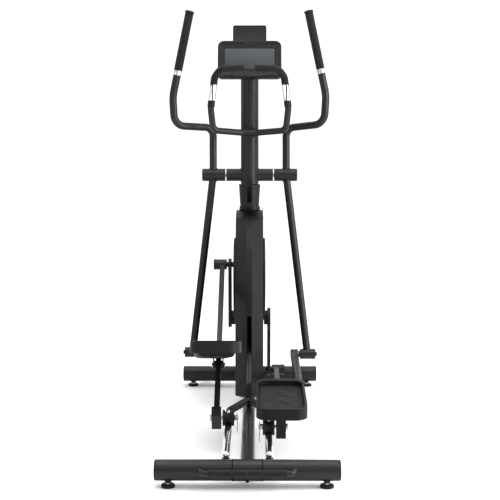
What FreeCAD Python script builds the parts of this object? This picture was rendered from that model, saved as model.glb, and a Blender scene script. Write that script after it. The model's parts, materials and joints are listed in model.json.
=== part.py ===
import FreeCAD, Part
import math
import os
import re
import Sketcher

# A front-drive elliptical trainer, in millimetres.
# +Z is up, +Y is forward (the way the user faces) and +X is the user's right.
# The origin is on the floor, under the middle of the machine.

Vector = FreeCAD.Vector
Rotation = FreeCAD.Rotation
Placement = FreeCAD.Placement

DIMENSIONS = {
    # floor bars and spine
    "rear_bar_y": -681.5, "front_bar_y": 668.5, "bar_z": 56, "bar_radius": 34, "bar_wall": 2.5,
    "bar_half": 294, "cap_depth": 6, "saddle_half": 48, "saddle_radius": 35,
    "spine_radius": 23, "spine_wall": 2.5, "spine_z": 62,
    "foot_x": 256, "foot_radius": 22.5, "foot_height": 11, "stud_radius": 5, "boss_radius": 11,
    "boss_low": 15, "boss_high": 30, "run_gap": 0.05, "part_gap": 0.4,
    "carry_radius": 9.5, "carry_half": 151, "carry_reach": 62, "carry_z": 65, "carry_bend": 22,
    "carry_grip_half": 126, "carry_grip_wall": 1.5,
    "wheel_x": 200, "wheel_radius": 25, "wheel_width": 24, "wheel_y": 729.5, "wheel_z": 50,
    "wheel_axle_radius": 5, "bracket_plate": 4,
    # rails
    "rail_x": 71.3, "rail_radius": 12.7, "rail_z": 91, "rail_rear_y": -645,
    "rail_front_y": -122, "tab_length": 60, "tab_height": 12,
    "fork_post_y": 12, "fork_post_half": 10, "fork_post_top": 168, "fork_arm_radius": 14,
    "strut_radius": 9, "strut_top_y": 372, "strut_top_z": 331,
    # upright and mast
    "post_y": 536.5, "post_half_x": 18, "post_half_y": 33, "post_wall": 3, "post_top": 806,
    "mast_radius": 38, "mast_wall": 2.5, "mast_foot": 806, "mast_top": 1368,
    "pivot_z": 959, "cross_radius": 27, "cross_half": 100, "axle_radius": 8.5, "mast_bolt_radius": 8,
    "mast_bolt_low": 1108, "mast_bolt_high": 1164,
    # crank and drive
    "crank_y": 407.5, "crank_z": 360, "crank_throw": 229, "crank_lean": -3.9, "crank_axle_radius": 12.5,
    "crank_inner": 75, "crank_outer": 89, "crank_hub_radius": 42, "crank_pin_radius": 25,
    "crank_boss_radius": 30, "crank_boss_inner": 61, "hub_cover_radius": 34, "hub_cover_depth": 4,
    "bearing_radius": 26, "bearing_width": 15, "housing_radius": 32, "housing_half": 30,
    "pulley_radius": 150, "pulley_inner": 36, "pulley_outer": 52, "pulley_hub_radius": 28,
    "pulley_web": 6, "pulley_hole_radius": 30, "pulley_hole_pitch": 88,
    "belt_thick": 3, "belt_width": 12,
    "flywheel_y": 382, "flywheel_z": 640, "flywheel_radius": 110, "flywheel_half": 9,
    "flywheel_axle_radius": 7.5, "flywheel_hub_radius": 22, "small_pulley_radius": 24,
    "carrier_plate": 4, "magnet_gap": 2.5, "magnet_thick": 14, "magnet_start": 220, "magnet_end": 285,
    # connecting arms
    "arm_x": 114, "arm_length": 836, "arm_half_width": 10, "arm_half_height": 16, "roller_z": 121.4,
    "arm_block_half": 17, "arm_block_high": 36, "arm_block_long": 22, "bush_radius": 21.5,
    "bush_inner": 95, "bush_outer": 142, "bush_flange": 24, "pin_radius": 11, "hinge_share": 0.31,
    "roller_half": 20.5, "roller_flange": 29, "roller_throat": 17.4, "roller_groove": 13.1,
    "roller_axle_radius": 6, "keeper_inner": 38, "keeper_outer": 41, "keeper_half": 15,
    "keeper_low": 50, "keeper_high": 15,
    # pedal arms and pedals
    "pedal_arm_length": 585, "link_x": 191, "link_radius": 17, "link_wall": 2.5, "link_rise": 42,
    "link_back": -18, "link_bend": 46, "link_inner": 88, "boss_half": 16, "boss_outer_radius": 20,
    "fork_plate": 5, "fork_gap": 15.5, "fork_cheek": 4, "fork_half": 24, "hinge_pin_radius": 8,
    "pedal_x": 117, "pedal_half_width": 89, "pedal_half_length": 176, "pedal_offset": -117,
    "pedal_rim": 98.2, "pedal_height": 41, "pedal_tilt": -3.5, "pedal_wall": 9, "pedal_floor": 19,
    "pedal_corner": 42, "pedal_recess": 13, "pedal_kerb": 26,
    "notch_half": 14, "notch_gap": 2.5, "notch_turn": 40.6,
    "pivot_stub_inner": 209, "pivot_stub_radius": 14,
    "brake_pivot_y": 486, "brake_pivot_z": 530, "brake_eye": 11, "brake_pin_radius": 5,
    # swing arms and handles
    "swing_length": 768.1, "swing_radius": 16, "swing_wall": 2, "swing_top_x": 157, "swing_low_x": 247,
    "hub_inner": 105, "hub_outer": 201, "hub_radius": 27, "foot_bush_inner": 215,
    "foot_bush_outer": 281, "foot_bush_radius": 22, "handle_radius": 16, "handle_grip_radius": 17.5,
    "handle_grip_low": 428, "handle_cap_depth": 9,
    # fixed handlebar
    "bar_tube_radius": 13.5, "bar_grip_radius": 15, "handlebar_y": 484, "handlebar_z": 1139,
    "handlebar_half": 160, "plate_low": 132, "plate_high": 195, "clamp_half": 22,
    # console, tablet rest and bottle holder
    "console_half": 134, "console_height": 168, "console_depth": 40, "console_y": 452,
    "console_low": 1369, "console_tilt": 20, "screen_half": 105, "screen_low": 37, "screen_high": 131,
    "screen_depth": 3, "tablet_half": 71, "tablet_height": 76, "tablet_depth": 9,
    "cup_y": 451, "cup_low": 828, "cup_high": 922, "cup_top_radius": 45, "cup_low_radius": 39.5,
    "cup_wall": 3, "cup_slot": 18,
    # covers
    "cover_half": 57.5, "cover_wall": 3, "cover_low": 61, "cover_high": 805, "cover_bevel": 46,
    "cover_front": 663, "cover_rear": 204, "panel_y": 430, "panel_z": 524, "panel_radius": 173,
    "panel_depth": 8, "seam_gap": 0.4, "slot_half": 9, "slot_low": 150, "slot_high": 400,
    "inlet_y": 606, "inlet_z": 200, "inlet_radius": 6, "inlet_depth": 18, "inlet_pin_radius": 1,
}

SIDES = {"left": -1, "right": 1}
REACH = 400  # longer than any piece that a cutting tool passes through
PLATE_SPLIT = 5  # gap between the two halves of a pulse plate
HANDLE_BENDS = (38, 52, 200, 200)
HANDLEBAR_BENDS = (40, 32, 90, 40, 40)


def make_sheet(doc, values):
    """Store each dimension in a cell whose alias is its name."""
    sheet = doc.addObject("Spreadsheet::Sheet", "Dims")
    for row, (name, value) in enumerate(values.items(), start=1):
        sheet.set(f"A{row}", name)
        sheet.set(f"B{row}", str(value))
        sheet.setAlias(f"B{row}", name)
    doc.recompute()
    return sheet


class Model:
    """The document, its sheet, and short ways to make bound objects."""

    def __init__(self, values):
        self.doc = FreeCAD.newDocument("elliptical_trainer")
        self.sheet = make_sheet(self.doc, values)
        self.nodes = []

    def tied(self, text):
        """Point every sheet name in an expression at the sheet."""
        return re.sub(r"\b([a-z]+_\w+)\b", r"Dims.\1", str(text))

    def value(self, text):
        return float(self.sheet.evalExpression(self.tied(text)))

    def point(self, x, y, z):
        return Vector(self.value(x), self.value(y), self.value(z))

    def bind(self, item, prop, text):
        item.setExpression(prop, self.tied(text))

    def place(self, item, at, axis=None, turn=None):
        """Put an object at a bound place, turned about an axis by a bound angle."""
        rotation = Rotation(Vector(*axis), self.value(turn)) if axis else Rotation()
        item.Placement = Placement(self.point(*at), rotation)
        for name, text in zip("xyz", at):
            self.bind(item, f"Placement.Base.{name}", text)
        if axis:
            self.bind(item, "Placement.Rotation.Angle", turn)
        return item

    def add(self, kind, name="Piece"):
        return self.doc.addObject(kind, name)

    def rod(self, radius, length, at, along="X"):
        """A solid cylinder that starts at a point and runs along one axis."""
        item = self.add("Part::Cylinder")
        self.bind(item, "Radius", radius)
        self.bind(item, "Height", length)
        if along == "X":
            return self.place(item, at, (0, 1, 0), "90")
        if along == "Y":
            return self.place(item, at, (1, 0, 0), "-90")
        return self.place(item, at)

    def block(self, size, at, axis=None, turn=None):
        """A box given by its size and its lowest corner."""
        item = self.add("Part::Box")
        for prop, text in zip(("Length", "Width", "Height"), size):
            self.bind(item, prop, text)
        return self.place(item, at, axis, turn)

    def cone(self, low, high, height, at):
        item = self.add("Part::Cone")
        self.bind(item, "Radius1", low)
        self.bind(item, "Radius2", high)
        self.bind(item, "Height", height)
        return self.place(item, at)

    def fuse(self, pieces):
        item = self.add("Part::MultiFuse")
        item.Shapes = pieces
        return item

    def cut(self, base, tools):
        item = self.add("Part::Cut")
        item.Base = base
        item.Tool = tools[0] if len(tools) == 1 else self.fuse(tools)
        return item

    def group(self, pieces):
        """Several separate solids that share one node."""
        item = self.add("Part::Compound")
        item.Links = pieces
        return item

    def shape(self, solid):
        """A solid made with Part's own functions, from sizes read in the sheet."""
        item = self.add("Part::Feature")
        item.Shape = solid
        return item

    def node(self, name, item, at=None, axis=None, turn=None):
        """Name a finished sub-part, and place it if it was drawn in its own frame."""
        item.Label = name
        if at:
            self.place(item, at, axis, turn)
        self.nodes.append(item)
        return item


def unit(angle):
    """A unit vector in the side plane, at an angle above straight ahead."""
    return Vector(0, math.cos(math.radians(angle)), math.sin(math.radians(angle)))


def bent_path(points, radii):
    """A wire of straight runs joined by tangent arcs, one radius for each inner point."""
    edges = []
    start = points[0]
    for corner, after, radius in zip(points[1:-1], points[2:], radii):
        into = (corner - start).normalize()
        out = (after - corner).normalize()
        turn = into.getAngle(out)
        back = radius * math.tan(turn / 2)
        first = corner - into * back
        last = corner + out * back
        inward = (out - into).normalize()
        middle = corner + inward * (radius / math.cos(turn / 2) - radius)
        edges.append(Part.LineSegment(start, first).toShape())
        edges.append(Part.Arc(first, middle, last).toShape())
        start = last
    edges.append(Part.LineSegment(start, points[-1]).toShape())
    return Part.Wire(edges)


def swept(path, radius):
    """A round bar along a path."""
    edge = path.OrderedEdges[0]
    start = edge.valueAt(edge.FirstParameter)
    ring = Part.Wire(Part.makeCircle(radius, start, edge.tangentAt(edge.FirstParameter)))
    return path.makePipeShell([ring], True, False)


def tube(path, radius, wall):
    """A round tube along a path, open at both ends."""
    return swept(path, radius).cut(swept(path, radius - wall))


def origin_plane(body, role):
    return next(item for item in body.Origin.OriginFeatures if item.Role == role)


def sketch(model, body, plane):
    item = body.newObject("Sketcher::SketchObject", "Sketch")
    item.AttachmentSupport = [(origin_plane(body, plane), "")]
    item.MapMode = "FlatFace"
    return item


def pin_point(model, item, geometry, end, x, y):
    """Tie one point of a sketch to two bound distances from the sketch's origin."""
    for kind, text in (("DistanceX", x), ("DistanceY", y)):
        distance = Sketcher.Constraint(kind, -1, 1, geometry, end, model.value(text))
        index = item.addConstraint(distance)
        model.bind(item, f"Constraints[{index}]", text)


def outline(model, item, corners):
    """A closed outline with every corner bound to the sheet."""
    points = [Vector(model.value(x), model.value(y), 0) for x, y in corners]
    base = item.GeometryCount
    count = len(points)
    for index in range(count):
        item.addGeometry(Part.LineSegment(points[index], points[(index + 1) % count]))
    for index in range(count):
        after = base + (index + 1) % count
        item.addConstraint(Sketcher.Constraint("Coincident", base + index, 2, after, 1))
    for index, (x, y) in enumerate(corners):
        pin_point(model, item, base + index, 1, x, y)


def ring(model, item, x, y, radius):
    """A circle whose centre and radius are bound to the sheet."""
    centre = Vector(model.value(x), model.value(y), 0)
    size = model.value(radius)
    index = item.addGeometry(Part.Circle(centre, Vector(0, 0, 1), size))
    pin_point(model, item, index, 3, x, y)
    limit = item.addConstraint(Sketcher.Constraint("Radius", index, size))
    model.bind(item, f"Constraints[{limit}]", radius)


def pad(model, body, profile, length, backwards=False, both=False):
    item = body.newObject("PartDesign::Pad", "Pad")
    item.Profile = profile
    model.bind(item, "Length", length)
    item.Reversed = backwards
    if both:
        item.SideType = "Symmetric"
    return item


def turned(model, corners, plane="XZ_Plane", axis="V_Axis"):
    """A body turned from a half outline about one axis of its sketch."""
    body = model.add("PartDesign::Body", "Body")
    profile = sketch(model, body, plane)
    outline(model, profile, corners)
    item = body.newObject("PartDesign::Revolution", "Revolution")
    item.Profile = profile
    item.ReferenceAxis = (profile, [axis])
    item.Angle = 360
    return body


def edges_along(shape, direction, accept):
    """Names of the straight edges parallel to a direction that pass a test."""
    names = []
    for index, edge in enumerate(shape.Edges, start=1):
        if edge.Curve.TypeId != "Part::GeomLine":
            continue
        if edge.tangentAt(edge.FirstParameter).cross(direction).Length < 1e-6 and accept(edge.CenterOfMass):
            names.append(f"Edge{index}")
    return names


def soften(model, body, base, kind, edges, prop, size):
    """Add a fillet or a chamfer to named edges of a body's last feature."""
    item = body.newObject(f"PartDesign::{kind}", kind)
    item.Base = (base, edges)
    model.bind(item, prop, size)
    return item


# ---------------------------------------------------------------- floor frame

def stabiliser(model, name, y, saddle):
    """A floor bar: a round tube with two upright bosses for its levelling feet."""
    outer = [model.rod("bar_radius", "2 * bar_half", ("-bar_half", y, "bar_z"))]
    if saddle:
        outer.append(model.rod("saddle_radius", "2 * saddle_half", ("-saddle_half", y, "bar_z")))
    bore = model.rod("bar_radius - bar_wall", "2 * bar_half", ("-bar_half", y, "bar_z"))
    pieces = [model.cut(model.fuse(outer) if saddle else outer[0], [bore])]
    holes = []
    for side in SIDES.values():
        at = (f"{side} * foot_x", y, "boss_low")
        pieces.append(model.rod("boss_radius", "boss_high - boss_low", at, "Z"))
        holes.append(model.rod("stud_radius + run_gap", "boss_high - boss_low", at, "Z"))
    if saddle:
        for side in SIDES.values():
            size = ("2 * rail_radius", "tab_length", "tab_height")
            low = (f"{side} * rail_x - rail_radius", y, "rail_z - rail_radius - tab_height")
            inside = model.rod("bar_radius - 1", "4 * rail_radius",
                               (f"{side} * rail_x - 2 * rail_radius", y, "bar_z"))
            pieces.append(model.cut(model.block(size, low), [inside]))
    model.node(name, model.cut(model.fuse(pieces), holes))


def end_caps(model):
    """Four plugs that close the ends of the floor bars."""
    caps = []
    for y in ("rear_bar_y", "front_bar_y"):
        for side in SIDES.values():
            corners = [("0", "0"), ("bar_radius", "0"), ("bar_radius", "cap_depth - 3"),
                       ("bar_radius - 3", "cap_depth"), ("0", "cap_depth")]
            body = turned(model, corners)
            model.place(body, (f"{side} * bar_half", y, "bar_z"), (0, 1, 0), f"{side} * 90")
            caps.append(body)
    model.node("stabiliser_end_caps", model.group(caps))


def spine(model):
    """The tube that joins the two floor bars."""
    start = "rear_bar_y + bar_radius - 1"
    length = "front_bar_y - rear_bar_y - 2 * bar_radius + 2"
    outer = model.rod("spine_radius", length, ("0", start, "spine_z"), "Y")
    inner = model.rod("spine_radius - spine_wall", length, ("0", start, "spine_z"), "Y")
    bars = [model.rod("saddle_radius", "4 * spine_radius", ("-2 * spine_radius", "rear_bar_y", "bar_z")),
            model.rod("bar_radius", "4 * spine_radius", ("-2 * spine_radius", "front_bar_y", "bar_z"))]
    model.node("spine_tube", model.cut(outer, [inner] + bars))


def rails(model):
    """Two chromed round rails that carry the rollers."""
    bars = []
    for side in SIDES.values():
        at = (f"{side} * rail_x", "rail_rear_y", "rail_z")
        bars.append(model.rod("rail_radius", "rail_front_y - rail_rear_y", at, "Y"))
    model.node("rails", model.group(bars))


def rail_bracket(model):
    """The forked bracket that holds the rails' front ends, with a strut up to the crank housing."""
    root = model.point("0", "fork_post_y", "spine_z + spine_radius + fork_arm_radius + 8")
    solids = []
    for side in SIDES.values():
        tip = model.point(f"{side} * rail_x", "rail_front_y + fork_arm_radius", "rail_z + 4")
        solids.append(swept(Part.Wire(Part.LineSegment(root, tip).toShape()), model.value("fork_arm_radius")))
        disc = Part.makeCylinder(model.value("rail_radius + 2"), model.value("2 * fork_arm_radius"),
                                 model.point(f"{side} * rail_x", "rail_front_y", "rail_z"), Vector(0, 1, 0))
        solids.append(disc)
    half = model.value("fork_post_half")
    low = model.value("spine_z")
    post = Part.makeBox(2 * half, 3 * half, model.value("fork_post_top") - low,
                        model.point("-fork_post_half", "fork_post_y - fork_post_half", "spine_z"))
    foot = model.point("0", "fork_post_y + fork_post_half", "fork_post_top - 2 * fork_post_half")
    top = model.point("0", "strut_top_y", "strut_top_z")
    strut = swept(Part.Wire(Part.LineSegment(foot, top).toShape()), model.value("strut_radius"))
    solid = post.multiFuse(solids + [strut])
    spine_bar = Part.makeCylinder(model.value("spine_radius"), model.value("front_bar_y - rear_bar_y"),
                                  model.point("0", "rear_bar_y", "spine_z"), Vector(0, 1, 0))
    corner = model.point("0", "rail_front_y", "0") - Vector(REACH / 2, REACH, 0)
    behind = Part.makeBox(REACH, REACH, REACH, corner)
    solid = solid.cut(spine_bar).cut(behind).removeSplitter()
    model.node("rail_bracket", model.shape(max(solid.Solids, key=lambda item: item.Volume)))


def lift_handle(model):
    """A bent tube behind the rear bar, for lifting the machine, with two sleeves on it."""
    half, reach = model.value("carry_half"), model.value("carry_reach")
    y, z = model.value("rear_bar_y"), model.value("carry_z")
    radius, bend = model.value("carry_radius"), model.value("carry_bend")
    points = [Vector(-half, y, z), Vector(-half, y - reach, z),
              Vector(half, y - reach, z), Vector(half, y, z)]
    bar = Part.makeCylinder(model.value("bar_radius"), 4 * half, Vector(-2 * half, y, model.value("bar_z")),
                            Vector(1, 0, 0))
    solid = swept(bent_path(points, [bend, bend]), radius).cut(bar)
    solid = max(solid.Solids, key=lambda item: item.Volume)
    model.node("lift_handle", model.shape(solid))
    sleeves = []
    for side in SIDES.values():
        start = "part_gap" if side > 0 else "-carry_grip_half"
        at = (start, "rear_bar_y - carry_reach", "carry_z")
        outer = model.rod("carry_radius + carry_grip_wall", "carry_grip_half - part_gap", at)
        inner = model.rod("carry_radius", "carry_grip_half - part_gap", at)
        sleeves.append(model.cut(outer, [inner]))
    model.node("lift_handle_grips", model.group(sleeves))


def levelling_foot(model, name, x, y):
    """A rubber pad on a threaded stud that turns in the floor bar's boss."""
    corners = [("0", "0"), ("foot_radius - 2", "0"), ("foot_radius", "3"),
               ("foot_radius - 1", "foot_height - 3"), ("foot_radius - 7", "foot_height"),
               ("boss_radius", "foot_height"),
               ("boss_radius", "boss_low - part_gap"), ("stud_radius", "boss_low - part_gap"),
               ("stud_radius", "boss_high - 1"), ("0", "boss_high - 1")]
    model.node(name, turned(model, corners), (x, y, "0"))


def transport_wheel(model, side, name):
    """A small wheel at the front for rolling the tilted machine."""
    corners = [("wheel_axle_radius + run_gap", "-wheel_width / 2"), ("wheel_radius - 3", "-wheel_width / 2"),
               ("wheel_radius", "3 - wheel_width / 2"), ("wheel_radius", "wheel_width / 2 - 3"),
               ("wheel_radius - 3", "wheel_width / 2"), ("wheel_axle_radius + run_gap", "wheel_width / 2")]
    model.node(name, turned(model, corners), (f"{side} * wheel_x", "wheel_y", "wheel_z"), (0, 1, 0), "90")


def wheel_brackets(model):
    """Two forks welded to the front bar, each with its wheel's axle."""
    pieces = []
    for side in SIDES.values():
        cheeks = []
        for cheek in SIDES.values():
            offset = f"{cheek} * (wheel_width / 2 + 1 + bracket_plate / 2)"
            inner = f"{side} * wheel_x + {offset} - bracket_plate / 2"
            size = ("bracket_plate", "wheel_y - front_bar_y", "2 * wheel_axle_radius + 16")
            cheeks.append(model.block(size, (inner, "front_bar_y", "wheel_z - wheel_axle_radius - 8")))
            cheeks.append(model.rod("wheel_axle_radius + 8", "bracket_plate", (inner, "wheel_y", "wheel_z")))
        start = f"{side} * wheel_x - wheel_width / 2 - 1"
        cheeks.append(model.rod("wheel_axle_radius", "wheel_width + 2", (start, "wheel_y", "wheel_z")))
        bar = model.rod("bar_radius", "3 * wheel_width", (f"{side} * wheel_x - 1.5 * wheel_width",
                                                          "front_bar_y", "bar_z"))
        pieces.append(model.cut(model.fuse(cheeks), [bar]))
    model.node("wheel_brackets", model.group(pieces))


# ---------------------------------------------------------------- upright and mast

def upright(model):
    """The box post inside the covers, with the crank's bearing housing welded to it."""
    size = ("2 * post_half_x", "2 * post_half_y", "post_top - spine_z")
    low = ("-post_half_x", "post_y - post_half_y", "spine_z")
    post = model.block(size, low)
    hollow = model.block(("2 * post_half_x - 2 * post_wall", "2 * post_half_y - 2 * post_wall",
                          "post_top - spine_z - 2 * spine_radius"),
                         ("post_wall - post_half_x", "post_y - post_half_y + post_wall",
                          "spine_z + 2 * spine_radius"))
    web = model.block(("2 * post_wall + 10", "post_y - post_half_y - crank_y", "2 * housing_radius - 12"),
                      ("-post_wall - 5", "crank_y", "crank_z - housing_radius + 6"))
    housing = model.rod("housing_radius", "2 * housing_half", ("-housing_half", "crank_y", "crank_z"))
    bore = model.rod("bearing_radius", "2 * housing_half", ("-housing_half", "crank_y", "crank_z"))
    tube_bar = model.rod("spine_radius", "4 * post_half_y", ("0", "post_y - 2 * post_half_y", "spine_z"), "Y")
    box = model.cut(post, [hollow])
    solid = model.fuse([box, web, housing] + brake_lug(model))
    model.node("upright_post", model.cut(solid, [bore, tube_bar]))


def mast(model):
    """The round mast with its cross tube and the sloping plate that carries the console."""
    outer = model.rod("mast_radius", "mast_top - mast_foot", ("0", "post_y", "mast_foot"), "Z")
    cross = model.rod("cross_radius", "2 * cross_half", ("-cross_half", "post_y", "pivot_z"))
    inner = model.rod("mast_radius - mast_wall", "mast_top - mast_foot", ("0", "post_y", "mast_foot"), "Z")
    cross_bore = model.rod("axle_radius", "2 * cross_half", ("-cross_half", "post_y", "pivot_z"))
    foot = model.rod("mast_radius", "4", ("0", "post_y", "mast_foot"), "Z")
    plate = model.block(("2 * mast_radius", "2 * mast_radius", "5"),
                        ("-mast_radius", "post_y - mast_radius", "mast_top"))
    stem = model.block(("50", "12", "84"), ("-25", "post_y - mast_radius - 2.8", "mast_top + 4"),
                       (1, 0, 0), "-console_tilt")
    shell = model.cut(outer, [inner])
    inside = model.cut(cross, [model.rod("mast_radius - mast_wall", "4 * cross_radius",
                                         ("0", "post_y", "pivot_z - 2 * cross_radius"), "Z")])
    holes = [cross_bore] + [model.rod("4.5", "3 * mast_radius", ("0", "post_y - 2 * mast_radius", z), "Y")
                            for z in ("mast_bolt_low", "mast_bolt_high")]
    model.node("mast", model.cut(model.fuse([shell, inside, foot, plate, stem]), holes))


def mast_bolts(model):
    """Two cap screws through the mast's rear wall, which hold the handlebar's plate."""
    screws = []
    for z in ("mast_bolt_low", "mast_bolt_high"):
        head = model.rod("mast_bolt_radius", "5", ("0", "post_y - mast_radius - 5", z), "Y")
        shank = model.rod("4.4", "20", ("0", "post_y - mast_radius - 1", z), "Y")
        screws.append(model.fuse([head, shank]))
    model.node("mast_bolts", model.group(screws))


def pivot_axle(model):
    """The shaft through the cross tube on which both swing arms turn."""
    model.node("pivot_axle", model.rod("axle_radius", "2 * hub_outer", ("-hub_outer", "post_y", "pivot_z")))


def bottle_holder(model):
    """A tapered cup behind the mast, slotted at the back."""
    outer = model.cone("cup_low_radius", "cup_top_radius", "cup_high - cup_low", ("0", "cup_y", "cup_low"))
    inner = model.cone("cup_low_radius - cup_wall", "cup_top_radius - cup_wall", "cup_high - cup_low",
                       ("0", "cup_y", "cup_low + 4"))
    slot = model.block(("cup_slot", "2 * cup_wall + 10", "cup_high - cup_low - 12"),
                       ("-cup_slot / 2", "cup_y - cup_top_radius - 2", "cup_low + 12 + 8"))
    tab = model.block(("24", "post_y - mast_radius - cup_y - cup_low_radius + 8", "40"),
                      ("-12", "cup_y + cup_low_radius - 3", "cup_low + 30"))
    mast_bar = model.rod("mast_radius", "2 * cup_high - 2 * cup_low", ("0", "post_y", "cup_low - 50"), "Z")
    model.node("bottle_holder", model.cut(model.fuse([outer, tab]), [inner, slot, mast_bar]))


# ---------------------------------------------------------------- hand rails

def handlebar_points(model, side):
    """Centre line of one half of the fixed handlebar, from its middle to its end."""
    half = model.value("handlebar_half")
    y, z = model.value("handlebar_y"), model.value("handlebar_z")
    steps = [(0, 0, 0), (30, 0, 0), (half - 8, -52, 10), (half + 1, -76, 100), (half - 17, -114, 226),
             (half - 42, -126, 258), (22, -130, 262)]
    return [Vector(side * x, y + dy, z + dz) for x, dy, dz in steps]


def part_of(solid, low, high):
    """The stretch of a solid between two heights."""
    size = 10 * REACH
    return solid.common(Part.makeBox(size, size, high - low, Vector(-size / 2, -size / 2, low)))


def handlebar(model):
    """The fixed handlebar, its pulse plates and its foam grips, all on one centre line."""
    radius = model.value("bar_tube_radius")
    halves, bores, sleeves, plates = [], [], [], []
    low, high = model.value("handlebar_z + plate_low"), model.value("handlebar_z + plate_high")
    for side in SIDES.values():
        path = bent_path(handlebar_points(model, side), HANDLEBAR_BENDS)
        halves.append(swept(path, radius))
        bores.append(swept(path, radius - model.value("swing_wall")))
        skin = swept(path, model.value("bar_grip_radius")).cut(swept(path, radius))
        sleeves.append(max(part_of(skin, high + 1, high + REACH).Solids, key=lambda item: item.Volume))
        shell = max(part_of(skin, low, high).Solids, key=lambda item: item.Volume)
        middle = side * model.value("handlebar_half - 8")
        cutter = Part.makeBox(PLATE_SPLIT, REACH, REACH, Vector(middle - PLATE_SPLIT / 2, REACH / 2, low))
        plates.extend(shell.cut(cutter).Solids)
    bar = halves[0].fuse(halves[1]).removeSplitter()
    clamp = Part.makeBox(model.value("2 * clamp_half"), model.value("post_y - handlebar_y"), 2 * radius + 10,
                         model.point("-clamp_half", "handlebar_y", "handlebar_z - bar_tube_radius - 5"))
    mast_bar = Part.makeCylinder(model.value("mast_radius"), REACH,
                                 model.point("0", "post_y", "handlebar_z") - Vector(0, 0, REACH / 2))
    solid = bar.fuse(clamp).cut(mast_bar).cut(bores[0].fuse(bores[1]))
    for z in ("mast_bolt_low", "mast_bolt_high"):
        screw = Part.makeCylinder(model.value("mast_bolt_radius"), 60, model.point("0", "post_y - 90", z),
                                  Vector(0, 1, 0))
        solid = solid.cut(screw)
    model.node("handlebar", model.shape(max(solid.Solids, key=lambda item: item.Volume)))
    model.node("handlebar_grips", model.shape(Part.makeCompound(sleeves)))
    model.node("pulse_plates", model.shape(Part.makeCompound(plates)))


# ---------------------------------------------------------------- console

def tilted(model, item):
    """Lean a console piece forward about the console's lower rear edge."""
    return model.place(item, ("0", "console_y", "console_low"), (1, 0, 0), "-console_tilt")


def console(model):
    """The console's case with a recess for the screen and a lip under it."""
    body = model.add("PartDesign::Body", "Body")
    face = sketch(model, body, "XZ_Plane")
    outline(model, face, [("-console_half", "0"), ("console_half", "0"), ("console_half", "console_height"),
                          ("-console_half", "console_height")])
    case = pad(model, body, face, "console_depth", backwards=True)
    model.doc.recompute()
    corners = edges_along(case.Shape, Vector(0, 1, 0), lambda at: True)
    rounded = soften(model, body, case, "Fillet", corners, "Radius", "18")
    model.doc.recompute()
    back = [f"Edge{i}" for i, edge in enumerate(rounded.Shape.Edges, start=1)
            if abs(edge.BoundBox.YMin - model.value("console_depth")) < 1e-6]
    soften(model, body, rounded, "Chamfer", back, "Size", "10")
    recess = model.block(("2 * screen_half", "screen_depth + 1", "screen_high - screen_low"),
                         ("-screen_half", "-1", "screen_low"))
    cut = model.cut(body, [recess])
    model.node("console_housing", cut)
    tilted(model, cut)


def console_screen(model):
    """The display's flat window, set in the case."""
    size = ("2 * screen_half - 2 * part_gap", "screen_depth - 1", "screen_high - screen_low - 2 * part_gap")
    item = model.block(size, ("part_gap - screen_half", "1", "screen_low + part_gap"))
    model.node("console_screen", tilted(model, model.group([item])))


def tablet_holder(model):
    """A slim plate above the console that a tablet leans on."""
    body = model.add("PartDesign::Body", "Body")
    face = sketch(model, body, "XZ_Plane")
    outline(model, face, [("-tablet_half", "0"), ("tablet_half", "0"), ("tablet_half", "tablet_height"),
                          ("-tablet_half", "tablet_height")])
    plate = pad(model, body, face, "tablet_depth", backwards=True)
    model.doc.recompute()
    top = edges_along(plate.Shape, Vector(0, 1, 0), lambda at: at.z > model.value("tablet_height / 2"))
    soften(model, body, plate, "Fillet", top, "Radius", "6")
    lean = "console_tilt"
    at = ("0", f"console_y + (console_height + part_gap) * sin({lean}) + 14 * cos({lean})",
          f"console_low + (console_height + part_gap) * cos({lean}) - 14 * sin({lean})")
    model.node("tablet_holder", body, at, (1, 0, 0), "-console_tilt")


# ---------------------------------------------------------------- covers

def cover_profile():
    """Side outline of the covers, from the bottom rear corner round to the front."""
    return [("cover_rear", "cover_low"), ("cover_front - 32", "cover_low"),
            ("cover_front - 32", "cover_low + 56"), ("cover_front", "cover_low + 110"),
            ("cover_front", "panel_z"), ("cover_front - 34", "cover_high - 90"),
            ("post_y + mast_radius + 14", "cover_high"), ("post_y - mast_radius - 14", "cover_high"),
            ("panel_y - 96", "cover_high - 36"), ("cover_rear + 34", "panel_z + 128"),
            ("cover_rear - 4", "panel_z - 20")]


def rear_outer(model, edge, depth):
    """Whether an edge of a cover's slab is on its outer face and at its rear."""
    box, middle = edge.BoundBox, edge.CenterOfMass
    outer = box.XLength < 1e-6 and abs(abs(box.XMin) - depth) < 1e-6
    return outer and middle.y < model.value("panel_y - 40") and middle.z > model.value("cover_low + 5")


def cover_cavity(model, side):
    """The space inside one cover half, a wall's thickness in from its outside."""
    wall = model.value("cover_wall")
    depth = model.value("cover_half") - wall
    corners = [model.point("0", y, z) for y, z in cover_profile()]
    inset = Part.makePolygon(corners + corners[:1]).makeOffset2D(-wall, 2)
    solid = Part.Face(inset).extrude(Vector(side * depth, 0, 0))
    rear = [edge for edge in solid.Edges if rear_outer(model, edge, depth)]
    bevel = model.value("cover_bevel") - wall * (2 - math.sqrt(2))
    return model.shape(solid.makeChamfer(bevel, rear))


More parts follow.
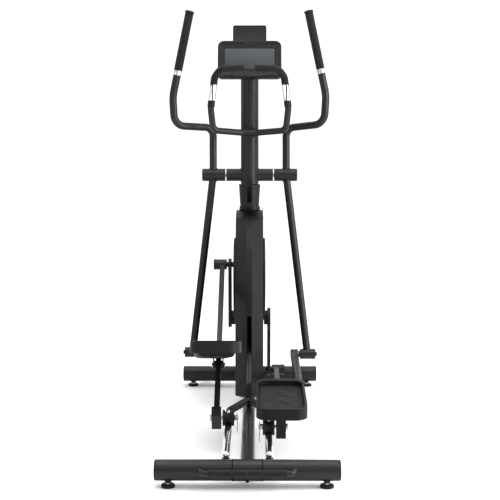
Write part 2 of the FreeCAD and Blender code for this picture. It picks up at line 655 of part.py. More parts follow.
def cover_half(model, name, side):
    """One half of the main cover: a shell with a bevelled rear, open towards its twin."""
    body = model.add("PartDesign::Body", "Body")
    profile = sketch(model, body, "YZ_Plane")
    outline(model, profile, cover_profile())
    slab = pad(model, body, profile, "cover_half - seam_gap / 2", backwards=side < 0)
    model.doc.recompute()
    depth = model.value("cover_half - seam_gap / 2")

    rear = [f"Edge{i}" for i, edge in enumerate(slab.Shape.Edges, start=1) if rear_outer(model, edge, depth)]
    soften(model, body, slab, "Chamfer", rear, "Size", "cover_bevel")
    model.place(body, (f"{side} * seam_gap / 2", "0", "0"))
    span = "4 * cover_half"
    start = "-2 * cover_half"
    tools = [cover_cavity(model, side),
             model.rod("crank_boss_radius + 4", span, (start, "crank_y", "crank_z")),
             model.rod("spine_radius + 1", "front_bar_y - rear_bar_y", ("0", "rear_bar_y", "spine_z"), "Y"),
             model.rod("mast_radius + 1", "100", ("0", "post_y", "cover_high - 50"), "Z"),
             model.block(("2 * slot_half", "80", "slot_high - slot_low"),
                         ("-slot_half", "cover_rear - 40", "slot_low")),
             model.block(("2 * spine_radius + 2", "front_bar_y - rear_bar_y", "spine_z - cover_low + 2"),
                         ("-spine_radius - 1", "rear_bar_y", "cover_low - 2"))]
    if side > 0:
        tools.append(model.rod("inlet_radius + part_gap", "40", ("cover_half - 20", "inlet_y", "inlet_z")))
    model.node(name, model.cut(body, tools))


def side_panels(model):
    """Two round covers that stand proud of the main cover's sides."""
    discs = []
    for side in SIDES.values():
        start = "cover_half + 0.2" if side > 0 else "-cover_half - 0.2 - panel_depth"
        disc = model.rod("panel_radius", "panel_depth", (start, "panel_y", "panel_z"))
        hole = model.rod("crank_boss_radius + 4", "4 * cover_half", ("-2 * cover_half", "crank_y", "crank_z"))
        discs.append(model.cut(disc, [hole]))
    model.node("side_panels", model.group(discs))


# ---------------------------------------------------------------- drive

def crank_arm(model, name, side, lean):
    """A flat crank arm with its hub boss and the bolt that clamps its pin."""
    body = model.add("PartDesign::Body", "Body")
    profile = sketch(model, body, "YZ_Plane")
    outline(model, profile, [("-crank_hub_radius * 0.8", "0"), ("crank_hub_radius * 0.8", "0"),
                             ("crank_pin_radius", "crank_throw"), ("-crank_pin_radius", "crank_throw")])
    pad(model, body, profile, "crank_outer - crank_inner", backwards=side < 0)
    thick = "crank_outer - crank_inner"
    flat = model.place(body, (f"{side} * crank_inner", "0", "0"))

    def across(radius, inner, length, z):
        start = inner if side > 0 else f"-{inner} - {length}"
        return model.rod(radius, length, (start, "0", z))

    pieces = [flat, across("crank_hub_radius", "crank_inner", f"({thick})", "0"),
              across("crank_pin_radius", "crank_inner", f"({thick})", "crank_throw"),
              across("crank_boss_radius", "crank_boss_inner", "(crank_inner - crank_boss_inner)", "0"),
              across("pin_radius", "(crank_inner - 7)", "7", "crank_throw")]
    bore = model.rod("crank_axle_radius", "4 * crank_outer", ("-2 * crank_outer", "0", "0"))
    recess = across("hub_cover_radius", "(crank_outer - hub_cover_depth)", "(2 * hub_cover_depth)", "0")
    arm = model.cut(model.fuse(pieces), [bore, recess])
    model.node(name, arm, ("0", "crank_y", "crank_z"), (1, 0, 0), lean)


def crank_axle(model):
    start = "-(crank_outer - hub_cover_depth)"
    length = "2 * (crank_outer - hub_cover_depth)"
    model.node("crank_axle", model.rod("crank_axle_radius", length, (start, "crank_y", "crank_z")))


def hub_covers(model):
    """Two round caps pressed into the crank arms' hubs, flush with their faces."""
    caps = []
    for side in SIDES.values():
        corners = [("0", "0"), ("hub_cover_radius", "0"), ("hub_cover_radius", "hub_cover_depth - 1"),
                   ("hub_cover_radius - 1", "hub_cover_depth"), ("0", "hub_cover_depth")]
        body = turned(model, corners)
        start = f"{side} * (crank_outer - hub_cover_depth)"
        model.place(body, (start, "crank_y", "crank_z"), (0, 1, 0), f"{side} * 90")
        caps.append(body)
    model.node("hub_covers", model.group(caps))


def crank_bearings(model):
    """Two ball bearings pressed in the housing."""
    pieces = []
    for side in SIDES.values():
        start = "housing_half - bearing_width" if side > 0 else "-housing_half"
        outer = model.rod("bearing_radius", "bearing_width", (start, "crank_y", "crank_z"))
        inner = model.rod("crank_axle_radius + run_gap", "bearing_width", (start, "crank_y", "crank_z"))
        pieces.append(model.cut(outer, [inner]))
    model.node("crank_bearings", model.group(pieces))


def drive_pulley(model):
    """The large belt pulley, a thin web with round holes between its rim and hub."""
    half = "(pulley_outer - pulley_inner) / 2"
    corners = [("crank_axle_radius", f"-{half}"), ("pulley_hub_radius", f"-{half}"),
               ("pulley_hub_radius", "-pulley_web / 2"), ("pulley_radius - 8", "-pulley_web / 2"),
               ("pulley_radius - 8", f"-{half}"), ("pulley_radius", f"-{half}"),
               ("pulley_radius", half), ("pulley_radius - 8", half), ("pulley_radius - 8", "pulley_web / 2"),
               ("pulley_hub_radius", "pulley_web / 2"), ("pulley_hub_radius", half),
               ("crank_axle_radius", half)]
    body = turned(model, corners)
    model.doc.recompute()
    face = sketch(model, body, "XY_Plane")
    ring(model, face, "pulley_hole_pitch", "0", "pulley_hole_radius")
    hole = body.newObject("PartDesign::Pocket", "Pocket")
    hole.Profile = face
    hole.SideType = "Symmetric"
    model.bind(hole, "Length", "4 * pulley_web")
    model.doc.recompute()
    pattern = body.newObject("PartDesign::PolarPattern", "PolarPattern")
    pattern.Originals = [hole]
    pattern.Axis = (origin_plane(body, "Z_Axis"), [""])
    pattern.Angle = 360
    pattern.Occurrences = 5
    body.Tip = pattern
    middle = "-(pulley_outer + pulley_inner) / 2"
    model.node("drive_pulley", body, (middle, "crank_y", "crank_z"), (0, 1, 0), "90")


def drive_belt(model):
    """The flat ribbed belt, drawn round both pulleys just clear of them."""
    big, small = model.point("0", "crank_y", "crank_z"), model.point("0", "flywheel_y", "flywheel_z")
    inner = [model.value("pulley_radius + part_gap"), model.value("small_pulley_radius + part_gap")]
    thick, width = model.value("belt_thick"), model.value("belt_width")
    start = -model.value("(pulley_outer + pulley_inner) / 2") - width / 2

    def loop(grow):
        radii = [size + grow for size in inner]
        span = small - big
        lean = math.atan2(span.z, span.y)
        wrap = math.acos((radii[0] - radii[1]) / span.Length)
        spots = {}
        for tag, centre, radius in (("big", big, radii[0]), ("small", small, radii[1])):
            for turn in (wrap, -wrap):
                angle = lean + turn
                spots[tag, turn > 0] = centre + Vector(0, math.cos(angle), math.sin(angle)) * radius
        far_big = big - Vector(0, math.cos(lean), math.sin(lean)) * radii[0]
        far_small = small + Vector(0, math.cos(lean), math.sin(lean)) * radii[1]
        edges = [Part.Arc(spots["big", True], far_big, spots["big", False]),
                 Part.LineSegment(spots["big", False], spots["small", False]),
                 Part.Arc(spots["small", False], far_small, spots["small", True]),
                 Part.LineSegment(spots["small", True], spots["big", True])]
        wire = Part.Wire([edge.toShape() for edge in edges])
        wire.translate(Vector(start, 0, 0))
        return Part.Face(wire).extrude(Vector(width, 0, 0))

    model.node("drive_belt", model.shape(loop(thick).cut(loop(0))))


def flywheel(model):
    """The iron flywheel with its small belt pulley beside it."""
    reach = "(pulley_outer + pulley_inner) / 2 + belt_width / 2 + 2"
    near = "(pulley_outer + pulley_inner) / 2 - belt_width / 2 - 2"
    corners = [("flywheel_axle_radius + run_gap", f"-({reach})"), ("small_pulley_radius", f"-({reach})"),
               ("small_pulley_radius", f"-({near})"), ("flywheel_hub_radius - 4", f"-({near})"),
               ("flywheel_hub_radius - 4", "-flywheel_half"), ("flywheel_radius", "-flywheel_half"),
               ("flywheel_radius", "flywheel_half"), ("flywheel_hub_radius", "flywheel_half"),
               ("flywheel_hub_radius", "flywheel_half + 5"),
               ("flywheel_axle_radius + run_gap", "flywheel_half + 5")]
    model.node("flywheel", turned(model, corners), ("0", "flywheel_y", "flywheel_z"), (0, 1, 0), "90")


def flywheel_carrier(model):
    """Two plates from the post that hold the flywheel's fixed axle."""
    left = "-(pulley_outer + pulley_inner) / 2 - belt_width / 2 - 3"
    right = "flywheel_half + 8"
    plate = model.block(("carrier_plate", "post_y - post_half_y - flywheel_y + 14", "40"),
                        (right, "flywheel_y - 14", "flywheel_z - 20"))
    turn_in = model.block(("carrier_plate + 8", "8", "40"), ("post_half_x - 8", "post_y - post_half_y - 8",
                                                           "flywheel_z - 20"))
    bore = model.rod("flywheel_axle_radius", "60", ("0", "flywheel_y", "flywheel_z"))
    model.node("flywheel_bracket", model.cut(model.fuse([plate, turn_in]), [bore]))
    model.node("flywheel_axle", model.rod("flywheel_axle_radius", f"{right} + carrier_plate + 6 - ({left})",
                                          (left, "flywheel_y", "flywheel_z")))


def brake_bracket(model):
    """A curved magnet carrier under the flywheel's rim, on its own pivot at the post."""
    centre = model.point("0", "flywheel_y", "flywheel_z")
    inner = model.value("flywheel_radius + magnet_gap")
    outer = inner + model.value("magnet_thick")
    half = model.value("flywheel_half")
    axis = Vector(1, 0, 0)
    start = centre - axis * half
    first, last = unit(model.value("magnet_start")), unit(model.value("magnet_end"))
    lever = centre + last * (outer - 6)
    pivot = model.point("0", "brake_pivot_y", "brake_pivot_z")
    arc = Part.makeCylinder(outer, 2 * half, start, axis)
    wedge = Part.Face(Part.makePolygon([start, start + first * REACH, start + last * REACH, start]))
    arc = arc.common(wedge.extrude(axis * 2 * half))
    link = swept(Part.Wire(Part.LineSegment(lever, pivot).toShape()), 6)
    eye = Part.makeCylinder(model.value("brake_eye"), 2 * half, pivot - axis * half, axis)
    hole = Part.makeCylinder(model.value("brake_pin_radius + run_gap"), 4 * half,
                             pivot - axis * 2 * half, axis)
    rim = Part.makeCylinder(inner, 4 * half, start - axis * half, axis)
    solid = arc.multiFuse([link, eye]).cut(rim).cut(hole).removeSplitter()
    model.node("brake_bracket", model.shape(solid))


def brake_lug(model):
    """Two cheeks on the post, and the pin between them that carries the brake bracket."""
    pieces = []
    reach = "post_y - post_half_y - brake_pivot_y + brake_eye"
    for side in SIDES.values():
        inner = "flywheel_half + 0.5" if side > 0 else "-flywheel_half - 4.5"
        low = (inner, "brake_pivot_y - brake_eye", "brake_pivot_z - brake_eye")
        pieces.append(model.block(("4", reach, "2 * brake_eye"), low))
    pin = ("-flywheel_half - 4.5", "brake_pivot_y", "brake_pivot_z")
    pieces.append(model.rod("brake_pin_radius", "2 * flywheel_half + 9", pin))
    return pieces


def servo_motor(model):
    """The small geared motor that moves the brake bracket."""
    case = model.block(("34", "26", "48"), ("-17", "post_y + post_half_y", "flywheel_z - 60"))
    shaft = model.rod("4", "14", ("17", "post_y + post_half_y + 13", "flywheel_z - 50"))
    model.node("servo_motor", model.fuse([case, shaft]))


def power_inlet(model):
    """The round power socket in the right cover, near the floor at the front."""
    barrel = model.rod("inlet_radius", "inlet_depth", ("cover_half - inlet_depth", "inlet_y", "inlet_z"))
    flange = model.rod("inlet_radius + 3", "2", ("cover_half + 0.2", "inlet_y", "inlet_z"))
    throat = model.rod("inlet_radius - 2.5", "inlet_depth - 2", ("cover_half - 13.8", "inlet_y", "inlet_z"))
    pin = model.rod("inlet_pin_radius", "inlet_depth - 6", ("cover_half - 14.8", "inlet_y", "inlet_z"))
    model.node("dc_inlet", model.fuse([model.cut(model.fuse([barrel, flange]), [throat]), pin]))


# ---------------------------------------------------------------- linkages

def linkage(model, side):
    """Where one side's pivots stand, from the crank's angle and the lengths of the links."""
    lean = model.value("crank_lean") + (180 if side > 0 else 0)
    crank = Vector(0, math.sin(math.radians(lean)), math.cos(math.radians(lean)))
    pin = model.point("0", "crank_y", "crank_z") + crank * model.value("crank_throw")
    rise = pin.z - model.value("roller_z")
    length = model.value("arm_length")
    roller = Vector(0, pin.y - math.sqrt(length ** 2 - rise ** 2), model.value("roller_z"))
    arm_pitch = math.degrees(math.asin(rise / length))
    hinge = roller + unit(arm_pitch) * (length * model.value("hinge_share"))
    top = model.point("0", "post_y", "pivot_z")
    reach, swing = model.value("pedal_arm_length"), model.value("swing_length")
    line = top - hinge
    span = line.Length
    along = (reach ** 2 - swing ** 2 + span ** 2) / (2 * span)
    across = math.sqrt(reach ** 2 - along ** 2)
    heading = line.normalize()
    foot = hinge + heading * along + Vector(0, heading.z, -heading.y) * across
    pedal_pitch = math.degrees(math.atan2(foot.z - hinge.z, foot.y - hinge.y))
    swing_pitch = math.degrees(math.atan2(foot.y - top.y, top.z - foot.z))
    return {"pin": pin, "roller": roller, "hinge": hinge, "foot": foot, "arm_pitch": arm_pitch,
            "pedal_pitch": pedal_pitch, "swing_pitch": swing_pitch}


def span(side, inner, length):
    """Where a rod across the machine starts, given its end nearer the middle and its length."""
    return inner if side > 0 else f"-({inner}) - ({length})"


def roller(model, name, side, at):
    """A concave roller that sits on the rail."""
    half, flange = model.value("roller_half"), model.value("roller_flange")
    groove, throat = model.value("roller_groove"), model.value("roller_throat")
    blank = Part.makeCylinder(flange, 2 * half, Vector(-half, 0, 0), Vector(1, 0, 0))
    hollow = Part.makeTorus(throat + groove, groove, Vector(), Vector(1, 0, 0))
    bore = Part.makeCylinder(model.value("roller_axle_radius + run_gap"), 4 * half, Vector(-2 * half, 0, 0),
                             Vector(1, 0, 0))
    item = model.shape(blank.cut(hollow).cut(bore))
    model.node(name, item, (f"{side} * rail_x", at.y, at.z))


def roller_carrier(model, name, side, at):
    """The roller's fixed axle with the keeper plate that hangs beside the rail."""
    outer = "arm_x + arm_block_half + 1"
    start = span(side, "keeper_inner", f"{outer} - keeper_inner")
    axle = model.rod("roller_axle_radius", f"{outer} - keeper_inner", (start, "0", "0"))
    head = model.rod("roller_axle_radius + 5", "6", (span(side, outer, "6"), "0", "0"))
    thick = "keeper_outer - keeper_inner"
    plate = model.block((thick, "2 * keeper_half", "keeper_high + keeper_low"),
                        (span(side, "keeper_inner", thick), "-keeper_half", "-keeper_low"))
    spacer_in = "rail_x - roller_half - keeper_outer - 0.5"
    inner = model.rod("roller_axle_radius + 4", spacer_in, (span(side, "keeper_outer", spacer_in), "0", "0"))
    model.node(name, model.fuse([axle, head, plate, inner]), ("0", at.y, at.z))


def connecting_arm(model, name, side, at, pitch):
    """The bar from the roller's axle to the crank pin, with its rear block and front bushing."""
    centre = f"{side} * arm_x"
    length = "arm_length - bush_radius + 2"
    bar = model.block(("2 * arm_half_width", length, "2 * arm_half_height"),
                      (f"{centre} - arm_half_width", "0", "-arm_half_height"))
    inner = model.block(("2 * arm_half_width - 5", "arm_length - 4 * bush_radius - arm_length * hinge_share",
                         "2 * arm_half_height - 5"),
                        (f"{centre} - arm_half_width + 2.5", "arm_length * hinge_share + 2 * bush_radius",
                         "2.5 - arm_half_height"))
    rear = model.block(("2 * arm_block_half", "2 * arm_block_long", "2 * arm_block_high"),
                       (f"{centre} - arm_block_half", "-arm_block_long", "-arm_block_high"))
    bush_length = "bush_outer - bush_inner"
    bush = model.rod("bush_radius", bush_length, (span(side, "bush_inner", bush_length), "arm_length", "0"))
    flange = model.rod("bush_flange", "4", (span(side, "bush_outer", "4"), "arm_length", "0"))
    boss = model.rod("arm_half_height", "2 * fork_gap - 1", (f"{centre} - fork_gap + 0.5",
                                                           "arm_length * hinge_share", "0"))
    wide = "8 * arm_half_width"
    low = f"{centre} - 4 * arm_half_width"
    holes = [model.rod("roller_axle_radius + run_gap", wide, (low, "0", "0")),
             model.rod("hinge_pin_radius + run_gap", wide, (low, "arm_length * hinge_share", "0")),
             model.rod("pin_radius", wide, (low, "arm_length", "0")), inner]
    arm = model.cut(model.fuse([bar, rear, bush, flange, boss]), holes)
    model.node(name, arm, ("0", at.y, at.z), (1, 0, 0), pitch)


def crank_pin(model, name, side, at, pitch):
    """The pin in the arm's front bushing, which ends just short of the crank arm."""
    length = "bush_outer + 4.2 - crank_outer - part_gap"
    shank = model.rod("pin_radius", length, (span(side, "crank_outer + part_gap", length), "arm_length", "0"))
    head = model.rod("bush_flange - 4", "4", (span(side, "bush_outer + 4.2", "4"), "arm_length", "0"))
    model.node(name, model.fuse([shank, head]), ("0", at.y, at.z), (1, 0, 0), pitch)


def pedal_arm_path(model, side):
    """Centre line of a pedal arm: straight back from its boss, then in under the pedal."""
    x, back, rise = model.value("link_x"), model.value("link_back"), model.value("link_rise")
    points = [Vector(side * x, model.value("pedal_arm_length"), 0), Vector(side * x, back, rise),
              Vector(side * model.value("link_inner"), back, rise)]
    return bent_path(points, [model.value("link_bend")])


def pedal_arm(model, name, side, at, pitch):
    """The bent tube from the swing arm's foot, with its boss, its fork and its hinge pin."""
    x, back, reach = model.value("link_x"), model.value("link_back"), model.value("pedal_arm_length")
    across = Vector(1, 0, 0)
    boss_half = model.value("boss_half")
    boss_start = Vector(side * x - boss_half, reach, 0)
    boss = Part.makeCylinder(model.value("boss_outer_radius"), 2 * boss_half, boss_start, across)
    bar = tube(pedal_arm_path(model, side), model.value("link_radius"), model.value("link_wall"))
    centre, gap, cheek = side * model.value("arm_x"), model.value("fork_gap"), model.value("fork_cheek")
    half, thick = model.value("fork_half"), model.value("fork_plate")
    low, high = -model.value("hinge_pin_radius + 7"), model.value("link_rise - 9")
    solids = [boss]
    for turn in SIDES.values():
        inner = centre + (gap if turn > 0 else -gap - cheek)
        corners = [(back - half, high), (back + half, high), (model.value("hinge_pin_radius + 7"), 0),
                   (0, low), (-model.value("hinge_pin_radius + 7"), 0)]
        wire = Part.makePolygon([Vector(inner, y, z) for y, z in corners + corners[:1]])
        solids.append(Part.Face(wire).extrude(across * cheek))
    flange = Part.makeBox(2 * (gap + cheek + 18), 2 * half - 8, thick,
                          Vector(centre - gap - cheek - 18, back - half + 4, high - thick))
    pin = Part.makeCylinder(model.value("hinge_pin_radius"), 2 * (gap + cheek + 4),
                            Vector(centre - gap - cheek - 4, 0, 0), across)
    solid = bar.multiFuse(solids + [flange, pin]).removeSplitter()
    model.node(name, model.shape(solid), ("0", at.y, at.z), (1, 0, 0), pitch)


def pedal_body(model):
    """A foot tray: rounded corners, a deep tread, a thick front kerb and a hollow underside."""
    body = model.add("PartDesign::Body", "Body")
    face = sketch(model, body, "XY_Plane")
    corners = [(f"{x} * pedal_half_width", f"{y} * pedal_half_length")
               for x, y in ((-1, -1), (1, -1), (1, 1), (-1, 1))]
    outline(model, face, corners)
    slab = pad(model, body, face, "pedal_height", backwards=True)
    model.doc.recompute()
    upright = edges_along(slab.Shape, Vector(0, 0, 1), lambda at: True)
    soften(model, body, slab, "Fillet", upright, "Radius", "pedal_corner")
    return body


def pedal(model, name, side, at, pitch):
    """One foot tray, drawn about its rim's middle and set on its pedal arm."""
    inner = "pedal_half_width - pedal_wall"
    tread_long = "2 * pedal_half_length - pedal_wall - pedal_kerb"
    tread = model.block((f"2 * ({inner})", tread_long, "pedal_height - pedal_floor + 1"),
                        (f"-({inner})", "pedal_wall - pedal_half_length", "pedal_floor - pedal_height"))
    under_long = "2 * pedal_half_length - 2 * pedal_wall"
    under = model.block((f"2 * ({inner})", under_long, "pedal_recess + 1"),
                        (f"-({inner})", "pedal_wall - pedal_half_length", "-pedal_height - 1"))
    soft_tread, soft_under = rounded_box(model, tread), rounded_box(model, under)
    tray = model.cut(pedal_body(model), [soft_tread, soft_under])
    model.place(tray, (f"{side} * pedal_x", "pedal_offset", "pedal_rim"), (1, 0, 0), "pedal_tilt")
    thick = "2 * arm_half_height + 2 * notch_gap"
    low = model.point("-notch_half", "0", f"-({thick}) / 2")
    size = [model.value(text) for text in ("2 * notch_half", "pedal_half_length", thick)]
    room = model.shape(Part.makeBox(*size, low))
    model.place(room, (f"{side} * arm_x", "0", "0"), (1, 0, 0), "notch_turn")
    link = model.shape(swept(pedal_arm_path(model, side), model.value("link_radius + 1.5")))
    model.node(name, model.cut(tray, [room, link]), ("0", at.y, at.z), (1, 0, 0), pitch)


def rounded_box(model, box):
    """A box with its four upright edges rounded."""
    model.doc.recompute()
    item = model.add("Part::Fillet")
    item.Base = box
    radius = model.value("pedal_corner - pedal_wall")
    upright = edges_along(box.Shape, Vector(0, 0, 1), lambda at: True)
    item.Edges = [(int(name[4:]), radius, radius) for name in upright]
    return item


def swing_arm(model, name, side, pitch):
    """The lower swing arm: a hub on the pivot axle, a leaning tube and a cross bushing."""
    top = model.point(f"{side} * swing_top_x", "0", "0")
    foot = model.point(f"{side} * swing_low_x", "0", "-swing_length")
    leg = Part.Wire(Part.LineSegment(top, foot).toShape())
    radius = model.value("swing_radius")
    hub_length = "hub_outer - hub_inner"
    hub = model.rod("hub_radius", hub_length, (span(side, "hub_inner", hub_length), "0", "0"))
    bush_length = "foot_bush_outer - foot_bush_inner"
    bush = model.rod("foot_bush_radius", bush_length, (span(side, "foot_bush_inner", bush_length), "0",
                                                       "-swing_length"))
    stub_length = "foot_bush_inner - pivot_stub_inner"
    stub = model.rod("pivot_stub_radius", stub_length, (span(side, "pivot_stub_inner", stub_length), "0",
                                                      "-swing_length"))
    tube_leg = model.shape(tube(leg, radius, model.value("swing_wall")))
    bore = model.rod("axle_radius + run_gap", "hub_outer - hub_inner + 20",
                     (span(side, "hub_inner - 10", "hub_outer - hub_inner + 20"), "0", "0"))
    arm = model.cut(model.fuse([hub, tube_leg, bush, stub]), [bore])
    model.node(name, arm, ("0", "post_y", "pivot_z"), (1, 0, 0), pitch)


def handle_path(model, side):
    """Centre line of one moving handle, from its hub to its top, in the swing arm's frame."""
    top_x = model.value("swing_top_x")
    steps = [(top_x, 0, 20), (top_x, 0, 202), (314, -108, 204), (320, -126, 322),
             (300, -140, 412), (247, -158, 663)]
    return bent_path([Vector(side * x, y, z) for x, y, z in steps], HANDLE_BENDS)


def upper_handle(model, name, side, pitch):
    """The bent handle tube, welded on top of the swing arm's hub."""
    path = handle_path(model, side)
    start = Vector(side * model.value("swing_top_x") - REACH / 2, 0, 0)
    hub = Part.makeCylinder(model.value("hub_radius"), REACH, start, Vector(1, 0, 0))
    solid = tube(path, model.value("handle_radius"), model.value("swing_wall")).cut(hub)
    solid = max(solid.Solids, key=lambda item: item.Volume)
    model.node(name, model.shape(solid), ("0", "post_y", "pivot_z"), (1, 0, 0), pitch)


def handle_grip(model, name, side, pitch):
    """The foam sleeve and end cap on the handle's top stretch."""
    path = handle_path(model, side)
    sleeve = swept(path, model.value("handle_grip_radius")).cut(swept(path, model.value("handle_radius")))
    upper = part_of(sleeve, model.value("handle_grip_low"), 2 * REACH)
    sleeve = max(upper.Solids, key=lambda item: item.Volume)
    edge = path.OrderedEdges[-1]
    tip, heading = edge.valueAt(edge.LastParameter), edge.tangentAt(edge.LastParameter)
    cap_radius, cap_depth = model.value("handle_grip_radius + 3"), model.value("handle_cap_depth")
    cap = Part.makeCylinder(cap_radius, cap_depth, tip, heading)
    cap = cap.makeFillet(4, [cap.Edges[0]])
    grip = model.shape(sleeve.fuse(cap).removeSplitter())
    model.node(name, grip, ("0", "post_y", "pivot_z"), (1, 0, 0), pitch)


def side_parts(model, word, side):
    """Every moving part of one side, placed where the crank's angle puts it."""
    spots = linkage(model, side)
    roller(model, f"{word}_roller", side, spots["roller"])
    roller_carrier(model, f"{word}_roller_carrier", side, spots["roller"])
    connecting_arm(model, f"{word}_connecting_arm", side, spots["roller"], spots["arm_pitch"])
    crank_pin(model, f"{word}_crank_pin", side, spots["roller"], spots["arm_pitch"])
    pedal_arm(model, f"{word}_pedal_arm", side, spots["hinge"], spots["pedal_pitch"])
    pedal(model, f"{word}_pedal", side, spots["hinge"], spots["pedal_pitch"])
    swing_arm(model, f"{word}_swing_arm", side, spots["swing_pitch"])
    upper_handle(model, f"{word}_upper_handle", side, spots["swing_pitch"])
    handle_grip(model, f"{word}_handle_grip", side, spots["swing_pitch"])


def build(model):
    stabiliser(model, "front_stabiliser", "front_bar_y", False)
    stabiliser(model, "rear_stabiliser", "rear_bar_y", True)
    end_caps(model)
    spine(model)
    rails(model)
    rail_bracket(model)
    lift_handle(model)
    wheel_brackets(model)
    upright(model)
    mast(model)
    mast_bolts(model)
    pivot_axle(model)
    bottle_holder(model)
    handlebar(model)
    console(model)
    console_screen(model)
    tablet_holder(model)
    side_panels(model)
    crank_axle(model)
    hub_covers(model)
    crank_bearings(model)
    drive_pulley(model)
    drive_belt(model)
    flywheel(model)
    flywheel_carrier(model)
    brake_bracket(model)
    servo_motor(model)
    power_inlet(model)
    for word, side in SIDES.items():
        for end, y in (("rear", "rear_bar_y"), ("front", "front_bar_y")):
            levelling_foot(model, f"{end}_{word}_foot", f"{side} * foot_x", y)
        transport_wheel(model, side, f"{word}_transport_wheel")
        cover_half(model, f"{word}_shroud", side)
        lean = "crank_lean" if side < 0 else "crank_lean + 180"
        crank_arm(model, f"{word}_crank_arm", side, f"-({lean})")
        side_parts(model, word, side)


def check(model):
    """Stop if anything in the document failed, or if a sub-part isn't a sound solid."""
    for item in model.doc.Objects:
        if "Invalid" in item.State or "Error" in item.State:
            raise SystemExit(f"{item.Name} ({item.Label}) failed: {item.State}")
    for item in model.nodes:
        if item.Shape.isNull() or not item.Shape.isValid() or not item.Shape.Solids:
            raise SystemExit(f"{item.Label} isn't a valid solid")


def write(model):
    os.makedirs("parts", exist_ok=True)
    for item in model.nodes:
        item.Shape.exportStep(f"parts/{item.Label}.step")


def main():
    model = Model(DIMENSIONS)
    build(model)
    model.doc.recompute()
    check(model)
    write(model)
    print(len(model.nodes), "sub-parts written")


if __name__ == "__main__":
    main()
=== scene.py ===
"""The elliptical trainer's looks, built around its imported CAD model.

Lengths are in millimetres in the row's frame until a mesh is finished, which scales it to metres.
"""
import json
import math
import bmesh
import bpy
from mathutils import Matrix, Vector


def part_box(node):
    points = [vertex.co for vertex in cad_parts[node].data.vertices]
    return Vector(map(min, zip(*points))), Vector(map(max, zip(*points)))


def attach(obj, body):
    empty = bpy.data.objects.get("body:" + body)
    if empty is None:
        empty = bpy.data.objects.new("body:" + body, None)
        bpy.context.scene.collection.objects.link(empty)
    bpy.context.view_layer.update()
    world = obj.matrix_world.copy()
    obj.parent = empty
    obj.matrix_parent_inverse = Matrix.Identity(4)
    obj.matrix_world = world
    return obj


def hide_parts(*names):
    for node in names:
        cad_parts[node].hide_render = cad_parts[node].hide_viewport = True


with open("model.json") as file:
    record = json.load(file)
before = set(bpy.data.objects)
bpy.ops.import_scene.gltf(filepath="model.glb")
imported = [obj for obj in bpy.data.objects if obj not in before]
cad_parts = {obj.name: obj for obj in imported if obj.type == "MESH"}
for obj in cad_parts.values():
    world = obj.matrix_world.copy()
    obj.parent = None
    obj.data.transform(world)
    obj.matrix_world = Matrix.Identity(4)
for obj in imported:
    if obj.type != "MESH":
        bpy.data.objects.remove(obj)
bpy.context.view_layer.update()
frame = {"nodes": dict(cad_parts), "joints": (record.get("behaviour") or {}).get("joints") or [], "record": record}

MM = 0.001
SIDES = {"left": -1, "right": 1}
AXIS_X, AXIS_Y, AXIS_Z = Vector((1, 0, 0)), Vector((0, 1, 0)), Vector((0, 0, 1))
JOINTS = {joint["name"]: joint for joint in frame["joints"]}
NODE_BODY = {node: body for body, nodes in frame["record"]["behaviour"]["bodies"].items() for node in nodes}
NODE_SLOT = {part["node"]: part["material_slot"] for part in frame["record"]["subparts"]}


def box_mm(node):
    """A CAD node's lowest and highest corners, in millimetres."""
    low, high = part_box(node)
    return low / MM, high / MM


def joint_at(name):
    """A hinge's place, in millimetres."""
    return Vector(JOINTS[name]["pos_m"]) / MM


# ---------------------------------------------------------------- materials

WORN_EDGE = (0.6, 0.72)  # pointiness at which wear starts, and at which it is full


